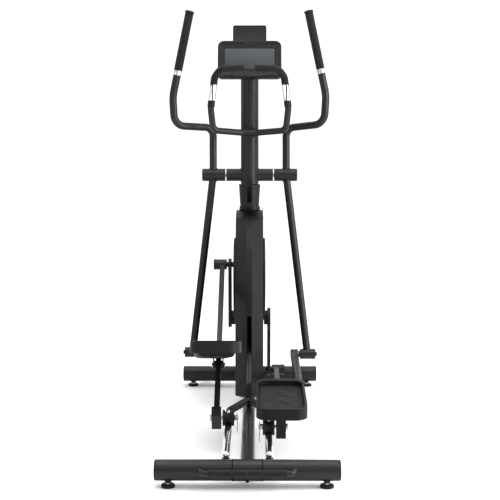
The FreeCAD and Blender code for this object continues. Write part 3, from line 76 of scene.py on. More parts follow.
class Finish:
    """A node material under construction."""

    def __init__(self, name, metallic=0.0, sheen=0.0, specular=0.5):
        self.material = bpy.data.materials.new(name)
        self.material.use_nodes = True
        self.tree = self.material.node_tree
        self.shader = self.tree.nodes["Principled BSDF"]
        self.shader.inputs["Metallic"].default_value = metallic
        self.shader.inputs["Sheen Weight"].default_value = sheen
        self.shader.inputs["Specular IOR Level"].default_value = specular
        self.place = self.add("ShaderNodeTexCoord").outputs["Object"]

    def add(self, kind, **values):
        node = self.tree.nodes.new(kind)
        for key, value in values.items():
            if hasattr(node, key):
                setattr(node, key, value)
            else:
                node.inputs[key.replace("_", " ").title()].default_value = value
        return node

    def link(self, start, end):
        self.tree.links.new(start, end)

    def noise(self, scale, detail=4.0, stretch=(1, 1, 1)):
        spread = self.add("ShaderNodeMapping")
        spread.inputs["Scale"].default_value = stretch
        node = self.add("ShaderNodeTexNoise", scale=scale, detail=detail)
        self.link(self.place, spread.inputs["Vector"])
        self.link(spread.outputs["Vector"], node.inputs["Vector"])
        return node.outputs["Fac"]

    def cells(self, scale):
        node = self.add("ShaderNodeTexVoronoi", scale=scale)
        self.link(self.place, node.inputs["Vector"])
        return node.outputs["Distance"]

    def span(self, source, low, high, start=0.3, end=0.7):
        node = self.add("ShaderNodeMapRange")
        for key, value in zip(("From Min", "From Max", "To Min", "To Max"), (start, end, low, high)):
            node.inputs[key].default_value = value
        self.link(source, node.inputs["Value"])
        return node.outputs["Result"]

    def mix(self, factor, first, second):
        """A colour mix whose inputs are colours or other nodes' outputs."""
        node = self.add("ShaderNodeMix", data_type="RGBA")
        self.link(factor, node.inputs["Factor"])
        for socket, value in ((node.inputs[6], first), (node.inputs[7], second)):
            if isinstance(value, bpy.types.NodeSocket):
                self.link(value, socket)
            else:
                socket.default_value = (*value, 1.0)
        return node.outputs[2]

    def colour(self, output):
        self.link(output, self.shader.inputs["Base Color"])

    def rough(self, output):
        self.link(output, self.shader.inputs["Roughness"])

    def bumps(self, *layers):
        """Stack bump layers, each (height output, strength, depth in millimetres)."""
        normal = None
        for height, strength, depth in layers:
            node = self.add("ShaderNodeBump", strength=strength, distance=depth * MM)
            self.link(height, node.inputs["Height"])
            if normal:
                self.link(normal, node.inputs["Normal"])
            normal = node.outputs["Normal"]
        self.link(normal, self.shader.inputs["Normal"])

    def edges(self):
        """How much a spot is on a worn outside edge, from 0 to 1."""
        sharp = self.add("ShaderNodeNewGeometry").outputs["Pointiness"]
        return self.span(sharp, 0.0, 1.0, *WORN_EDGE)


def shade(colour, factor):
    return tuple(channel * factor for channel in colour)


def paint(name, colour, low=0.34, high=0.46):
    """Powder coat: a fine orange peel, cloudy gloss, and edges rubbed a little lighter."""
    finish = Finish(name, specular=0.3)
    cloud = finish.noise(7.0)
    tone = finish.mix(finish.span(cloud, 0, 1), shade(colour, 0.84), shade(colour, 1.16))
    tone = finish.mix(finish.edges(), tone, shade(colour, 2.1))
    finish.colour(tone)
    finish.rough(finish.span(finish.noise(38.0), low, high))
    finish.bumps((finish.noise(620.0, 2.0), 0.04, 0.1))
    return finish.material


def plastic(name, colour, grain=1500.0, low=0.42, high=0.56, depth=0.14):
    """Moulded plastic with a spark-eroded grain and faint flow marks."""
    finish = Finish(name, specular=0.2)
    flow = finish.noise(5.0, 3.0, (1.0, 1.0, 2.6))
    tone = finish.mix(finish.span(flow, 0, 1), shade(colour, 0.86), shade(colour, 1.14))
    tone = finish.mix(finish.edges(), tone, shade(colour, 1.9))
    finish.colour(tone)
    finish.rough(finish.span(finish.noise(45.0), low, high))
    finish.bumps((finish.cells(grain), 0.22, depth), (finish.noise(240.0, 3.0), 0.08, 0.2))
    return finish.material


def bright(name, colour, low, high, stretch=(1, 1, 1), spangle=60.0):
    """Plated or ground metal with cloudy reflection and fine marks along one direction."""
    finish = Finish(name, metallic=1.0)
    clouds = finish.noise(spangle, 3.0)
    finish.colour(finish.mix(finish.span(clouds, 0, 1), shade(colour, 0.82), shade(colour, 1.08)))
    finish.rough(finish.span(finish.noise(90.0, 5.0, stretch), low, high))
    finish.bumps((finish.noise(420.0, 3.0, stretch), 0.07, 0.12))
    return finish.material


def foam(name, colour):
    """Closed-cell foam: matt, a little fuzzy at grazing angles, with tiny open cells."""
    finish = Finish(name, sheen=0.06, specular=0.26)
    finish.shader.inputs["Sheen Roughness"].default_value = 0.5
    tone = finish.mix(finish.span(finish.noise(26.0), 0, 1), shade(colour, 0.78), shade(colour, 1.25))
    finish.colour(tone)
    finish.rough(finish.span(finish.noise(80.0), 0.72, 0.92))
    finish.bumps((finish.cells(760.0), 0.55, 0.5), (finish.noise(95.0, 4.0), 0.25, 0.8))
    return finish.material


def rubber(name, colour):
    """Moulded rubber, dull and slightly dusty."""
    finish = Finish(name, specular=0.35)
    dust = finish.span(finish.noise(34.0, 6.0), 0, 1, 0.45, 0.75)
    finish.colour(finish.mix(dust, colour, shade(colour, 2.0)))
    finish.rough(finish.span(finish.noise(120.0), 0.62, 0.82))
    finish.bumps((finish.noise(700.0, 3.0), 0.25, 0.2))
    return finish.material


def display(name, colour):
    """A dark display behind an anti-glare window, with a fine dot grid and a soft vertical fade of painted light,
    lighter towards the top.
    """
    finish = Finish(name, specular=0.2)
    split = finish.add("ShaderNodeSeparateXYZ")
    finish.link(finish.place, split.inputs["Vector"])
    # Painted light: the display's colour runs lighter towards its top and darker towards its bottom.
    low, high = (corner.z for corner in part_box("console_screen"))
    fade = finish.span(split.outputs["Z"], 0, 1, low, high)
    grid = finish.add("ShaderNodeTexChecker", scale=1100.0)
    finish.link(finish.place, grid.inputs["Vector"])
    base = finish.mix(fade, shade(colour, 0.85), shade(colour, 1.12))
    dots = finish.span(grid.outputs["Fac"], 0.0, 0.12, 0, 1)
    finish.colour(finish.mix(dots, base, shade(colour, 0.5)))
    finish.rough(finish.span(finish.noise(14.0), 0.5, 0.6))
    return finish.material


def turned_metal(name, colour):
    """Cast or machined metal with fine tool rings."""
    finish = Finish(name, metallic=1.0)
    rings = finish.add("ShaderNodeTexWave", wave_type="RINGS", rings_direction="X", scale=120.0)
    finish.link(finish.place, rings.inputs["Vector"])
    cloud = finish.span(finish.noise(40.0), 0, 1)
    finish.colour(finish.mix(cloud, shade(colour, 0.8), shade(colour, 1.15)))
    finish.rough(finish.span(finish.noise(70.0), 0.32, 0.5))
    finish.bumps((rings.outputs["Fac"], 0.12, 0.1), (finish.noise(300.0), 0.1, 0.2))
    return finish.material


BLACK = (0.0048, 0.0049, 0.0052)
FINISHES = {
    "frame_paint": paint("satin_black", BLACK),
    "black_steel": paint("black_oxide", (0.0036, 0.0036, 0.004), 0.26, 0.4),
    "cover_plastic": plastic("cover_plastic", (0.0042, 0.0044, 0.0048)),
    "panel_plastic": plastic("panel_plastic", (0.003, 0.0031, 0.0034), 1900.0, 0.34, 0.46, 0.08),
    "pedal_plastic": plastic("pedal_plastic", (0.005, 0.0052, 0.0056), 1100.0, 0.48, 0.62, 0.2),
    "chrome": bright("chrome_plate", (0.8, 0.8, 0.82), 0.07, 0.17, (1.0, 0.2, 1.0)),
    "zinc": bright("zinc_plate", (0.56, 0.56, 0.55), 0.26, 0.42, (1, 1, 1), 190.0),
    "alloy": bright("cast_alloy", (0.5, 0.5, 0.52), 0.36, 0.52, (1, 1, 1), 90.0),
    "iron": turned_metal("machined_iron", (0.22, 0.22, 0.22)),
    "foam": foam("grip_foam", (0.0038, 0.0038, 0.004)),
    "rubber": rubber("moulded_rubber", (0.004, 0.004, 0.004)),
    "belt": rubber("belt_rubber", (0.004, 0.004, 0.004)),
    # painted shade: a near-black finish for thin rings that stand in for the shadow inside the rear saddle's seams
    "painted_seam_shadow": plastic("shadow_gap", (0.0008, 0.0008, 0.0008), low=0.85, high=0.95),
    "screen": display("display_window", (0.038, 0.043, 0.047)),
}


# ---------------------------------------------------------------- mesh tools

ROUND = 40


def aim(at, axis):
    """A placement at a point whose Z axis looks along a direction."""
    return Matrix.Translation(Vector(at)) @ Vector(axis).to_track_quat("Z", "Y").to_matrix().to_4x4()


def bridge(mesh, loops, closed=False):
    """Faces between neighbouring loops of vertices; a loop may be a single point."""
    pairs = list(zip(loops, loops[1:]))
    if closed:
        pairs.append((loops[-1], loops[0]))
    for first, second in pairs:
        count = max(len(first), len(second))
        for i in range(count):
            j = (i + 1) % count
            corners = [first[i % len(first)], first[j % len(first)]]
            corners += [second[j % len(second)], second[i % len(second)]]
            corners = list(dict.fromkeys(corners))
            if len(corners) > 2:
                mesh.faces.new(corners)


def lathe(mesh, rows, place, steps=ROUND, closed=False):
    """Turn an outline of (radius, height) or (radius, height, "hex") rows about a placement's Z axis."""
    loops = []
    for radius, height, *form in rows:
        if radius <= 0:
            loops.append([mesh.verts.new(place @ Vector((0, 0, height)))])
            continue
        loop = []
        for i in range(steps):
            angle = 2 * math.pi * i / steps
            reach = radius
            if form:
                sixth = math.pi / 3
                reach = radius * math.cos(sixth / 2) / math.cos(angle % sixth - sixth / 2)
            spot = Vector((reach * math.cos(angle), reach * math.sin(angle), height))
            loop.append(mesh.verts.new(place @ spot))
        loops.append(loop)
    bridge(mesh, loops, closed)


class Path:
    """A smooth line through space, measured along its length."""

    def __init__(self, points):
        self.points = points
        self.length = [0.0]
        for a, b in zip(points, points[1:]):
            self.length.append(self.length[-1] + (b - a).length)
        self.total = self.length[-1]
        heading = (points[1] - points[0]).normalized()
        side = heading.orthogonal().normalized()
        self.frames = []
        for i in range(len(points)):
            before, after = points[max(i - 1, 0)], points[min(i + 1, len(points) - 1)]
            heading = (after - before).normalized()
            side = (side - heading * side.dot(heading)).normalized()
            self.frames.append((side.copy(), heading.cross(side)))

    def at(self, distance):
        """The point and the two cross directions at a distance along the line."""
        distance = min(max(distance, 0.0), self.total)
        i = max(k for k in range(len(self.points) - 1) if self.length[k] <= distance + 1e-9)
        share = (distance - self.length[i]) / max(self.length[i + 1] - self.length[i], 1e-9)
        point = self.points[i].lerp(self.points[i + 1], share)
        side = self.frames[i][0].lerp(self.frames[i + 1][0], share).normalized()
        up = self.frames[i][1].lerp(self.frames[i + 1][1], share).normalized()
        return point, side, up

    def between(self, start, end):
        """Distances from start to end that keep every bend."""
        return [start] + [d for d in self.length if start + 0.5 < d < end - 0.5] + [end]


BEND_STEPS, CORNER_STEPS = 14, 9


def bent(corners, radii):
    """Points along straight runs joined by round bends, one radius for each inner corner."""
    points = [Vector(corners[0])]
    for before, corner, after, radius in zip(corners, corners[1:], corners[2:], radii):
        into, out = (corner - before).normalized(), (after - corner).normalized()
        turn = into.angle(out)
        if turn < 1e-3:
            continue
        first = corner - into * radius * math.tan(turn / 2)
        centre = corner + (out - into).normalized() * radius / math.cos(turn / 2)
        arm = first - centre
        axis = into.cross(out).normalized()
        turns = [Matrix.Rotation(turn * k / BEND_STEPS, 3, axis) for k in range(BEND_STEPS + 1)]
        points.extend(centre + rotation @ arm for rotation in turns)
    points.append(Vector(corners[-1]))
    return points


def sweep(mesh, path, stations, steps=28, closed=False):
    """A skin round a path through (distance, radius) stations; a radius of 0 ends it in a point."""
    loops = []
    for distance, radius in stations:
        point, side, up = path.at(distance)
        if radius <= 0:
            loops.append([mesh.verts.new(point)])
            continue
        turns = [2 * math.pi * i / steps for i in range(steps)]
        ring = [point + (side * math.cos(a) + up * math.sin(a)) * radius for a in turns]
        loops.append([mesh.verts.new(spot) for spot in ring])
    bridge(mesh, loops, closed)


def sleeve(mesh, path, start, end, inner, outer, edge):
    """A closed sleeve round a path with rounded ends."""
    rows = [(start, inner), (start, outer - edge), (start + 0.3 * edge, outer - 0.3 * edge)]
    rows += [(d, outer) for d in path.between(start + edge, end - edge)]
    rows += [(end - 0.3 * edge, outer - 0.3 * edge), (end, outer - edge), (end, inner)]
    rows += [(d, inner) for d in reversed(path.between(start, end)[1:-1])]
    sweep(mesh, path, rows, closed=True)


def outline(half, low, high, corners):
    """A rounded rectangle's points, with the corners' radii from the low right round to the low left."""
    spots = [(half, low, -90), (half, high, 0), (-half, high, 90), (-half, low, 180)]
    points = []
    for (x, y, start), radius in zip(spots, corners):
        centre_x = x - math.copysign(radius, x)
        centre_y = y + radius if y == low else y - radius
        for k in range(CORNER_STEPS + 1):
            angle = math.radians(start + 90 * k / CORNER_STEPS)
            points.append((centre_x + radius * math.cos(angle), centre_y + radius * math.sin(angle)))
    return points


def stack(mesh, layers, place):
    """A solid through a stack of equal-count outlines, each (points, height), closed at both ends."""
    loops = [[mesh.verts.new(place @ Vector((x, y, height))) for x, y in points]
             for points, height in layers]
    bridge(mesh, loops)
    mesh.faces.new(loops[0])
    mesh.faces.new(loops[-1])


def cap_screw(mesh, at, axis, radius, height):
    """A socket-head screw's head with a hexagonal socket."""
    socket, floor = radius * 0.52, height * 0.35
    rows = [(0, -1), (radius, -1), (radius, height - 0.8), (radius - 0.8, height), (socket + 0.5, height)]
    rows += [(socket, height - 0.4, "hex"), (socket, floor, "hex"), (0, floor)]
    lathe(mesh, rows, aim(at, axis))


def hex_nut(mesh, at, axis, radius, height):
    """A hexagon nut with chamfered corners on a washer."""
    rows = [(0, -1), (radius * 1.3, -1), (radius * 1.3, 1.2), (radius * 0.95, 1.4)]
    rows += [(radius, 2.2, "hex"), (radius, height - 1, "hex"), (radius * 0.8, height), (0, height)]
    lathe(mesh, rows, aim(at, axis))


def weld(mesh, centre, axis, radius, host_axis, host_radius, bead=1.9, ripples=34):
    """The rippled bead where a round tube meets a round host across it."""
    axis, host_axis = Vector(axis).normalized(), Vector(host_axis).normalized()
    across = axis.cross(host_axis).normalized()
    along = across.cross(axis).normalized()
    steps = ripples * 4
    loops = []
    for i in range(steps):
        angle = 2 * math.pi * i / steps
        sway = radius * math.sin(angle)
        reach = math.sqrt(max(host_radius ** 2 - sway ** 2, 0.0))
        spot = Vector(centre) + along * radius * math.cos(angle) + across * sway + axis * reach
        out = (along * math.cos(angle) + across * math.sin(angle)).normalized()
        size = bead * (1 + 0.13 * math.sin(angle * ripples))
        ring = [spot + (out * math.cos(t) + axis * math.sin(t)) * size
                for t in (2 * math.pi * k / 8 for k in range(8))]
        loops.append([mesh.verts.new(point) for point in ring])
    bridge(mesh, loops, closed=True)


SMOOTH_BELOW, FLAT_BELOW, BEVEL_ABOVE = 32, 0.6, 38  # degrees between two faces


def finished(name, mesh, body, material, nodes=()):
    """Turn a mesh in millimetres into a piece that rides on a body."""
    bmesh.ops.recalc_face_normals(mesh, faces=mesh.faces)
    bmesh.ops.scale(mesh, vec=(MM, MM, MM), verts=mesh.verts)
    data = bpy.data.meshes.new(name)
    mesh.to_mesh(data)
    mesh.free()
    data.shade_smooth()
    data.set_sharp_from_angle(angle=math.radians(SMOOTH_BELOW))
    piece = bpy.data.objects.new(name, data)
    bpy.context.scene.collection.objects.link(piece)
    piece.data.materials.append(FINISHES[material])
    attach(piece, body)
    if nodes:
        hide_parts(*nodes)
    return piece


def refined(node, edge, segments):
    """A CAD node rebuilt with clean faces and rounded edges."""
    mesh = bmesh.new()
    mesh.from_mesh(frame["nodes"][node].data)
    bmesh.ops.scale(mesh, vec=(1 / MM,) * 3, verts=mesh.verts)
    bmesh.ops.remove_doubles(mesh, verts=mesh.verts, dist=0.004)
    bmesh.ops.dissolve_limit(mesh, angle_limit=math.radians(FLAT_BELOW), verts=mesh.verts, edges=mesh.edges)
    piece = finished(f"fine_{node}", mesh, NODE_BODY[node], NODE_SLOT[node], nodes=[node])
    bevel = piece.modifiers.new("edges", "BEVEL")
    bevel.width = edge * MM
    bevel.segments = segments
    bevel.limit_method = "ANGLE"
    bevel.angle_limit = math.radians(BEVEL_ABOVE)
    bevel.use_clamp_overlap = True
    bevel.harden_normals = True
    return piece


# ---------------------------------------------------------------- floor bars and rails

def end_caps():
    """Four domed plugs in the ends of the floor bars, each with a ring groove."""
    low, high = box_mm("stabiliser_end_caps")
    radius = (high.z - low.z) / 2
    start = box_mm("rear_stabiliser")[1].x
    reach = high.x - start
    rows = [(radius - 3, -4), (radius - 3, 0), (radius, 0), (radius, reach * 0.45)]
    rows += [(radius - 1.2, reach * 0.75), (radius - 4, reach), (radius * 0.66, reach)]
    rows += [(radius * 0.62, reach - 1.2), (radius * 0.58, reach), (0, reach * 0.97)]
    mesh = bmesh.new()
    for y in (low.y + radius, high.y - radius):
        for side in SIDES.values():
            lathe(mesh, rows, aim((side * start, y, low.z + radius), AXIS_X * side), 64)
    finished("end_caps", mesh, "frame", "cover_plastic", nodes=["stabiliser_end_caps"])


STUD_RADIUS, THREAD_ROOT, THREAD_PITCH, NUT_RADIUS = 5, 4.35, 1.1, 9.4


def feet():
    """Four levelling feet: a ribbed rubber pad, a nut and a threaded zinc stud."""
    for node in [f"{end}_{word}_foot" for end in ("rear", "front") for word in SIDES]:
        low, high = box_mm(node)
        place = aim(((low.x + high.x) / 2, (low.y + high.y) / 2, 0), AXIS_Z)
        radius = (high.x - low.x) / 2
        pad = bmesh.new()
        rows = [(0, 0), (radius - 5, 0), (radius - 4, 1.2), (radius - 2.4, 0), (radius - 0.8, 0)]
        rows += [(radius, 1.2), (radius, 4.6), (radius - 0.8, 5), (radius - 0.8, 5.8), (radius, 6.2)]
        rows += [(radius - 0.6, 8.4), (radius - 4, 9.6), (12, 10.6), (0, 10.6)]
        lathe(pad, rows, place, 56)
        finished(f"{node}_pad", pad, NODE_BODY[node], "rubber", nodes=[node])
        stud = bmesh.new()
        rows = [(0, 10), (NUT_RADIUS, 10, "hex"), (NUT_RADIUS, 15, "hex"), (8, 15.6), (STUD_RADIUS, 15.6)]
        height = 16.4
        while height < high.z - 1:
            rows += [(STUD_RADIUS, height), (THREAD_ROOT, height + THREAD_PITCH / 2)]
            height += THREAD_PITCH
        rows += [(STUD_RADIUS - 0.7, high.z), (0, high.z)]
        lathe(stud, rows, place)
        finished(f"{node}_stud", stud, NODE_BODY[node], "zinc")


def transport_wheels():
    """Two rubber-tyred wheels with a recessed hub."""
    for word in SIDES:
        node = f"{word}_transport_wheel"
        low, high = box_mm(node)
        half, radius = (high.x - low.x) / 2, (high.z - low.z) / 2
        rows = [(5.4, -half), (11, -half), (11.5, -half + 2), (15, -half + 2), (15.8, -half)]
        rows += [(radius - 4, -half), (radius - 1, -half + 1.6), (radius, -half + 4), (radius, -1.4)]
        rows += [(radius - 0.9, 0)]
        rows += [(r, -h) for r, h in reversed(rows[:-1])]
        mesh = bmesh.new()
        lathe(mesh, rows, aim((low + high) / 2, AXIS_X), 56, closed=True)
        finished(f"{word}_wheel_tyre", mesh, NODE_BODY[node], "rubber", nodes=[node])


SADDLE_HALF, SADDLE_RADIUS = 48, 35


def bar_details():
    """Near-black rings painted as the shadow in the rear saddle's seams, the bolt under it, and the weld beads of
    the spine.
    """
    caps_low, caps_high = box_mm("stabiliser_end_caps")
    bar_radius = (caps_high.z - caps_low.z) / 2
    centre = Vector((0, caps_low.y + bar_radius, caps_low.z + bar_radius))
    # Painted shade: thin near-black rings at the saddle's edges, standing in for the shadow inside its seams.
    seams = bmesh.new()
    half = [(-1.4, -1.9), (0.2, -1.9), (0.3, -1.6)]
    steps = half + [(out, -along) for out, along in reversed(half)]
    for side in SIDES.values():
        place = aim(centre + AXIS_X * side * SADDLE_HALF, AXIS_X)
        lathe(seams, [(SADDLE_RADIUS + out, along) for out, along in steps], place, 72, closed=True)
    finished("saddle_seam_shadows", seams, "frame", "painted_seam_shadow")
    screws = bmesh.new()
    down = Vector((0, -0.5, -0.866))
    cap_screw(screws, centre + down * (SADDLE_RADIUS - 0.4), down, 5.5, 5)
    finished("saddle_screws", screws, "frame", "black_steel")
    welds = bmesh.new()
    low, high = box_mm("spine_tube")
    radius, height = (high.x - low.x) / 2, (low.z + high.z) / 2
    front_low, front_high = box_mm("front_stabiliser")
    weld(welds, (0, (front_low.y + front_high.y) / 2, height), -AXIS_Y, radius, AXIS_X, bar_radius)
    weld(welds, (0, centre.y, height), AXIS_Y, radius, AXIS_X, SADDLE_RADIUS)
    finished("spine_welds", welds, "frame", "frame_paint")


def rails():
    """Two plated round rails with domed rear ends."""
    low, high = box_mm("rails")
    radius, length = (high.z - low.z) / 2, high.y - low.y
    dome = radius * 0.8
    turns = [k * math.pi / 16 for k in range(9)]
    rows = [(radius * math.sin(turn), dome * (1 - math.cos(turn))) for turn in turns]
    rows += [(radius, length - 1), (radius - 1, length), (0, length)]
    mesh = bmesh.new()
    for side in SIDES.values():
        lathe(mesh, rows, aim((side * (high.x - radius), low.y, low.z + radius), AXIS_Y), 56)
    finished("plated_rails", mesh, "frame", "chrome", nodes=["rails"])


def spine():
    """The plain tube between the two floor bars."""
    low, high = box_mm("spine_tube")
    radius, length = (high.x - low.x) / 2, high.y - low.y
    mesh = bmesh.new()
    lathe(mesh, [(0, 0), (radius, 0), (radius, length), (0, length)],
          aim((0, low.y, low.z + radius), AXIS_Y), 72)
    finished("round_spine", mesh, "frame", "frame_paint", nodes=["spine_tube"])


def lift_grips():
    """Two foam sleeves that meet in the middle of the lift handle."""
    low, high = box_mm("lift_handle_grips")
    radius = (high.z - low.z) / 2
    y, z = (low.y + high.y) / 2, (low.z + high.z) / 2
    for word, side in SIDES.items():
        mesh = bmesh.new()
        path = Path([Vector((side * x, y, z)) for x in (*range(0, int(high.x) + 1, 8), high.x)])
        sleeve(mesh, path, 1.4, path.total - 0.2, radius - 1.3, radius, 1.2)
        nodes = ["lift_handle_grips"] if side < 0 else []
        piece = finished(f"lift_grip_{word}", mesh, "frame", "foam", nodes=nodes)


# ---------------------------------------------------------------- mast, handlebar and handles

MAST_RADIUS, CROSS_RADIUS = 38, 27


def mast_details():
    """Weld beads of the cross tube, a collar at the mast's foot, and the handlebar's socket screws."""
    pivot = joint_at("left_swing_pivot")
    welds = bmesh.new()
    for side in SIDES.values():
        weld(welds, (0, pivot.y, pivot.z), AXIS_X * side, CROSS_RADIUS, AXIS_Z, MAST_RADIUS, 2.2, 52)
    finished("mast_welds", welds, "frame", "frame_paint")
    collar = bmesh.new()
    foot = box_mm("mast")[0].z
    steps = ((-1, 0.5), (6, 0.5), (7, 3), (6.4, 14), (2, 24), (0.2, 25), (-1, 25))
    rows = [(MAST_RADIUS + out, foot + height) for out, height in steps]
    lathe(collar, rows, aim((0, pivot.y, 0), AXIS_Z), 72, closed=True)
    finished("mast_collar", collar, "frame", "cover_plastic")
    screws = bmesh.new()
    low, high = box_mm("mast_bolts")
    radius = (high.x - low.x) / 2
    for z in (low.z + radius, high.z - radius):
        spot = (0, low.y + 5, z)
        cap_screw(screws, spot, -AXIS_Y, radius, 5)
        lathe(screws, [(4.4, -16), (4.4, 0), (0, 0.2)], aim(spot, -AXIS_Y), 20)
    finished("mast_screws", screws, "frame", "black_steel", nodes=["mast_bolts"])


BAR_RADIUS, BAR_GRIP_RADIUS = 13.5, 15
BAR_BENDS = (40, 32, 90, 40, 40)


def bar_path(side):
    """Centre line of one half of the fixed handlebar, as in the CAD model."""
    steps = ((0, 0, 0), (30, 0, 0), (152, -52, 10), (161, -76, 100), (143, -114, 226), (118, -126, 258),
             (22, -130, 262))
    middle = Vector((0, 484, 1139))
    return Path(bent([middle + Vector((side * x, y, z)) for x, y, z in steps], BAR_BENDS))


def height_on(path, z):
    """The distance along a path at which it last rises past a height."""
    steps = list(zip(path.points, path.points[1:], path.length, path.length[1:]))
    for low, high, start, end in reversed(steps):
        if low.z <= z < high.z:
            return start + (end - start) * (z - low.z) / (high.z - low.z)
    return path.total


def fixed_bar():
    """Foam grips with end plugs, and the collars and seams beside the pulse plates."""
    plates_low, plates_high = box_mm("pulse_plates")
    for word, side in SIDES.items():
        path = bar_path(side)
        low, high = height_on(path, plates_low.z), height_on(path, plates_high.z)
        grip = bmesh.new()
        sleeve(grip, path, high + 1.5, path.total - 3, BAR_RADIUS, BAR_GRIP_RADIUS, 1.5)
        nodes = ["handlebar_grips"] if side < 0 else []
        piece = finished(f"bar_grip_{word}", grip, "frame", "foam", nodes=nodes)
        trim = bmesh.new()
        sleeve(trim, path, low - 26, low - 1, BAR_RADIUS - 0.3, BAR_GRIP_RADIUS + 0.3, 1.6)
        sleeve(trim, path, low - 24, low - 21.5, BAR_RADIUS, BAR_GRIP_RADIUS + 0.9, 0.8)
        sleeve(trim, path, high - 0.6, high + 1.4, BAR_RADIUS - 0.3, BAR_GRIP_RADIUS + 0.4, 0.8)
        rows = [(BAR_RADIUS - 2, -4), (BAR_GRIP_RADIUS, -4), (BAR_GRIP_RADIUS + 0.4, -2.5)]
        rows += [(BAR_GRIP_RADIUS - 1, -0.4), (BAR_GRIP_RADIUS - 4, 0), (0, 0)]
        lathe(trim, rows, aim(path.points[-1], -AXIS_X * side))
        finished(f"bar_collars_{word}", trim, "frame", "cover_plastic")


HANDLE_RADIUS, GRIP_RADIUS = 16, 17.5
HUB_X, HUB_RADIUS, HUB_OUTER = 157, 27, 201
FOOT_X, FOOT_OUTER, FOOT_DROP, FOOT_RADIUS = 247, 281, 768.1, 22
HANDLE_STEPS = ((HUB_X, 0, 20), (HUB_X, 0, 202), (314, -108, 204), (320, -126, 322), (300, -140, 412),
                (247, -158, 663))
HANDLE_BENDS = (38, 52, 200, 200)
HANDLE_SCREWS = (62, 88)
GRIP_LOW, RING_LENGTH = 428, 18


def swing_lean(word):
    """How far a swing arm leans at rest, from its pivot and the foot of its CAD solid."""
    pivot, low = joint_at(f"{word}_swing_pivot"), box_mm(f"{word}_swing_arm")[0]
    return math.atan2(low.y + FOOT_RADIUS - pivot.y, pivot.z - (low.z + FOOT_RADIUS))


def upper_handle(word, path, grip_start):
    """A bent tube with a bright ring, a foam grip and a cap."""
    body = f"{word}_swing"
    tube = bmesh.new()
    sweep(tube, path, [(0, 0), *((d, HANDLE_RADIUS) for d in path.between(0, path.total)), (path.total, 0)])
    finished(f"{word}_handle_tube", tube, body, "frame_paint", nodes=[f"{word}_upper_handle"])
    ring = bmesh.new()
    ring_start = grip_start - RING_LENGTH
    sleeve(ring, path, ring_start, grip_start, HANDLE_RADIUS - 0.5, GRIP_RADIUS + 0.3, 0.8)
    finished(f"{word}_handle_ring", ring, body, "chrome")
    grip = bmesh.new()
    sleeve(grip, path, grip_start + 0.3, path.total - 0.3, HANDLE_RADIUS, GRIP_RADIUS, 1.5)
    piece = finished(f"{word}_handle_foam", grip, body, "foam", nodes=[f"{word}_handle_grip"])
    cap = bmesh.new()
    rows = [(HANDLE_RADIUS - 2, -3), (HANDLE_RADIUS - 2, 0), (GRIP_RADIUS + 2, 0), (GRIP_RADIUS + 3, 1.2)]
    rows += [(GRIP_RADIUS + 2.8, 3.5), (GRIP_RADIUS, 6.6), (GRIP_RADIUS - 6, 8.5), (0, 9)]
    lathe(cap, rows, aim(path.points[-1], (path.points[-1] - path.points[-2]).normalized()))
    finished(f"{word}_handle_cap", cap, body, "rubber")


def hub_details(word, side, turn, pivot):
    """The welds of both tubes on the hub, the plug in its end, the handle's screws and the foot's nut."""
    body = f"{word}_swing"
    lean = turn.to_3x3()
    welds = bmesh.new()
    hub = Vector((side * HUB_X, pivot.y, pivot.z))
    for along in (AXIS_Z, Vector((side * (FOOT_X - HUB_X), 0, -FOOT_DROP))):
        weld(welds, hub, lean @ along, HANDLE_RADIUS, AXIS_X, HUB_RADIUS)
    finished(f"{word}_hub_welds", welds, body, "frame_paint")
    plug = bmesh.new()
    rows = [(9.5, -2), (HUB_RADIUS - 0.5, -2), (HUB_RADIUS - 0.3, 0.4), (HUB_RADIUS - 2, 2.6)]
    rows += [(HUB_RADIUS - 7, 3.4), (0, 3.6)]
    lathe(plug, rows, aim((side * HUB_OUTER, pivot.y, pivot.z), AXIS_X * side), 56)
    finished(f"{word}_hub_plug", plug, body, "cover_plastic")
    screws = bmesh.new()
    for height in HANDLE_SCREWS:
        spot = turn @ Vector((side * HUB_X, -HANDLE_RADIUS, height))
        cap_screw(screws, spot, lean @ -AXIS_Y, 4.6, 3.2)
    hex_nut(screws, turn @ Vector((side * FOOT_OUTER, 0, -FOOT_DROP)), AXIS_X * side, 9.5, 7)
    finished(f"{word}_swing_screws", screws, body, "black_steel")


def handles():
    """Both moving handles and the details of their hubs, drawn about the pivot and leant as at rest."""
    for word, side in SIDES.items():
        pivot = joint_at(f"{word}_swing_pivot")
        turn = Matrix.Translation((0, pivot.y, pivot.z)) @ Matrix.Rotation(swing_lean(word), 4, "X")
        local = bent([Vector((side * x, y, z)) for x, y, z in HANDLE_STEPS], HANDLE_BENDS)
        path = Path([turn @ point for point in local])
        upper_handle(word, path, height_on(Path(local), GRIP_LOW))
        hub_details(word, side, turn, pivot)


# ---------------------------------------------------------------- console

CONSOLE_FOOT, CONSOLE_TILT = (0, 452, 1369), -20
CONSOLE_HALF, CONSOLE_HEIGHT, CONSOLE_DEPTH = 134, 168, 40
REST_HALF, REST_HEIGHT, REST_DEPTH = 71, 76, 9
BADGE_HALF, BADGE_RISE, BADGE_HEIGHT = 23, 5.4, 151


def plain(half, low, high, corner, out):
    """A layer of a stack: a rectangle with four equal corners, and its height."""
    return outline(half, low, high, [corner] * 4), out


def console_place():
    """The console's own frame: across, up its face, and out towards the user."""
    tilt = Matrix.Rotation(math.radians(CONSOLE_TILT), 4, "X")
    face_up = Matrix(((1, 0, 0, 0), (0, 0, -1, 0), (0, 1, 0, 0), (0, 0, 0, 1)))
    return Matrix.Translation(CONSOLE_FOOT) @ tilt @ face_up


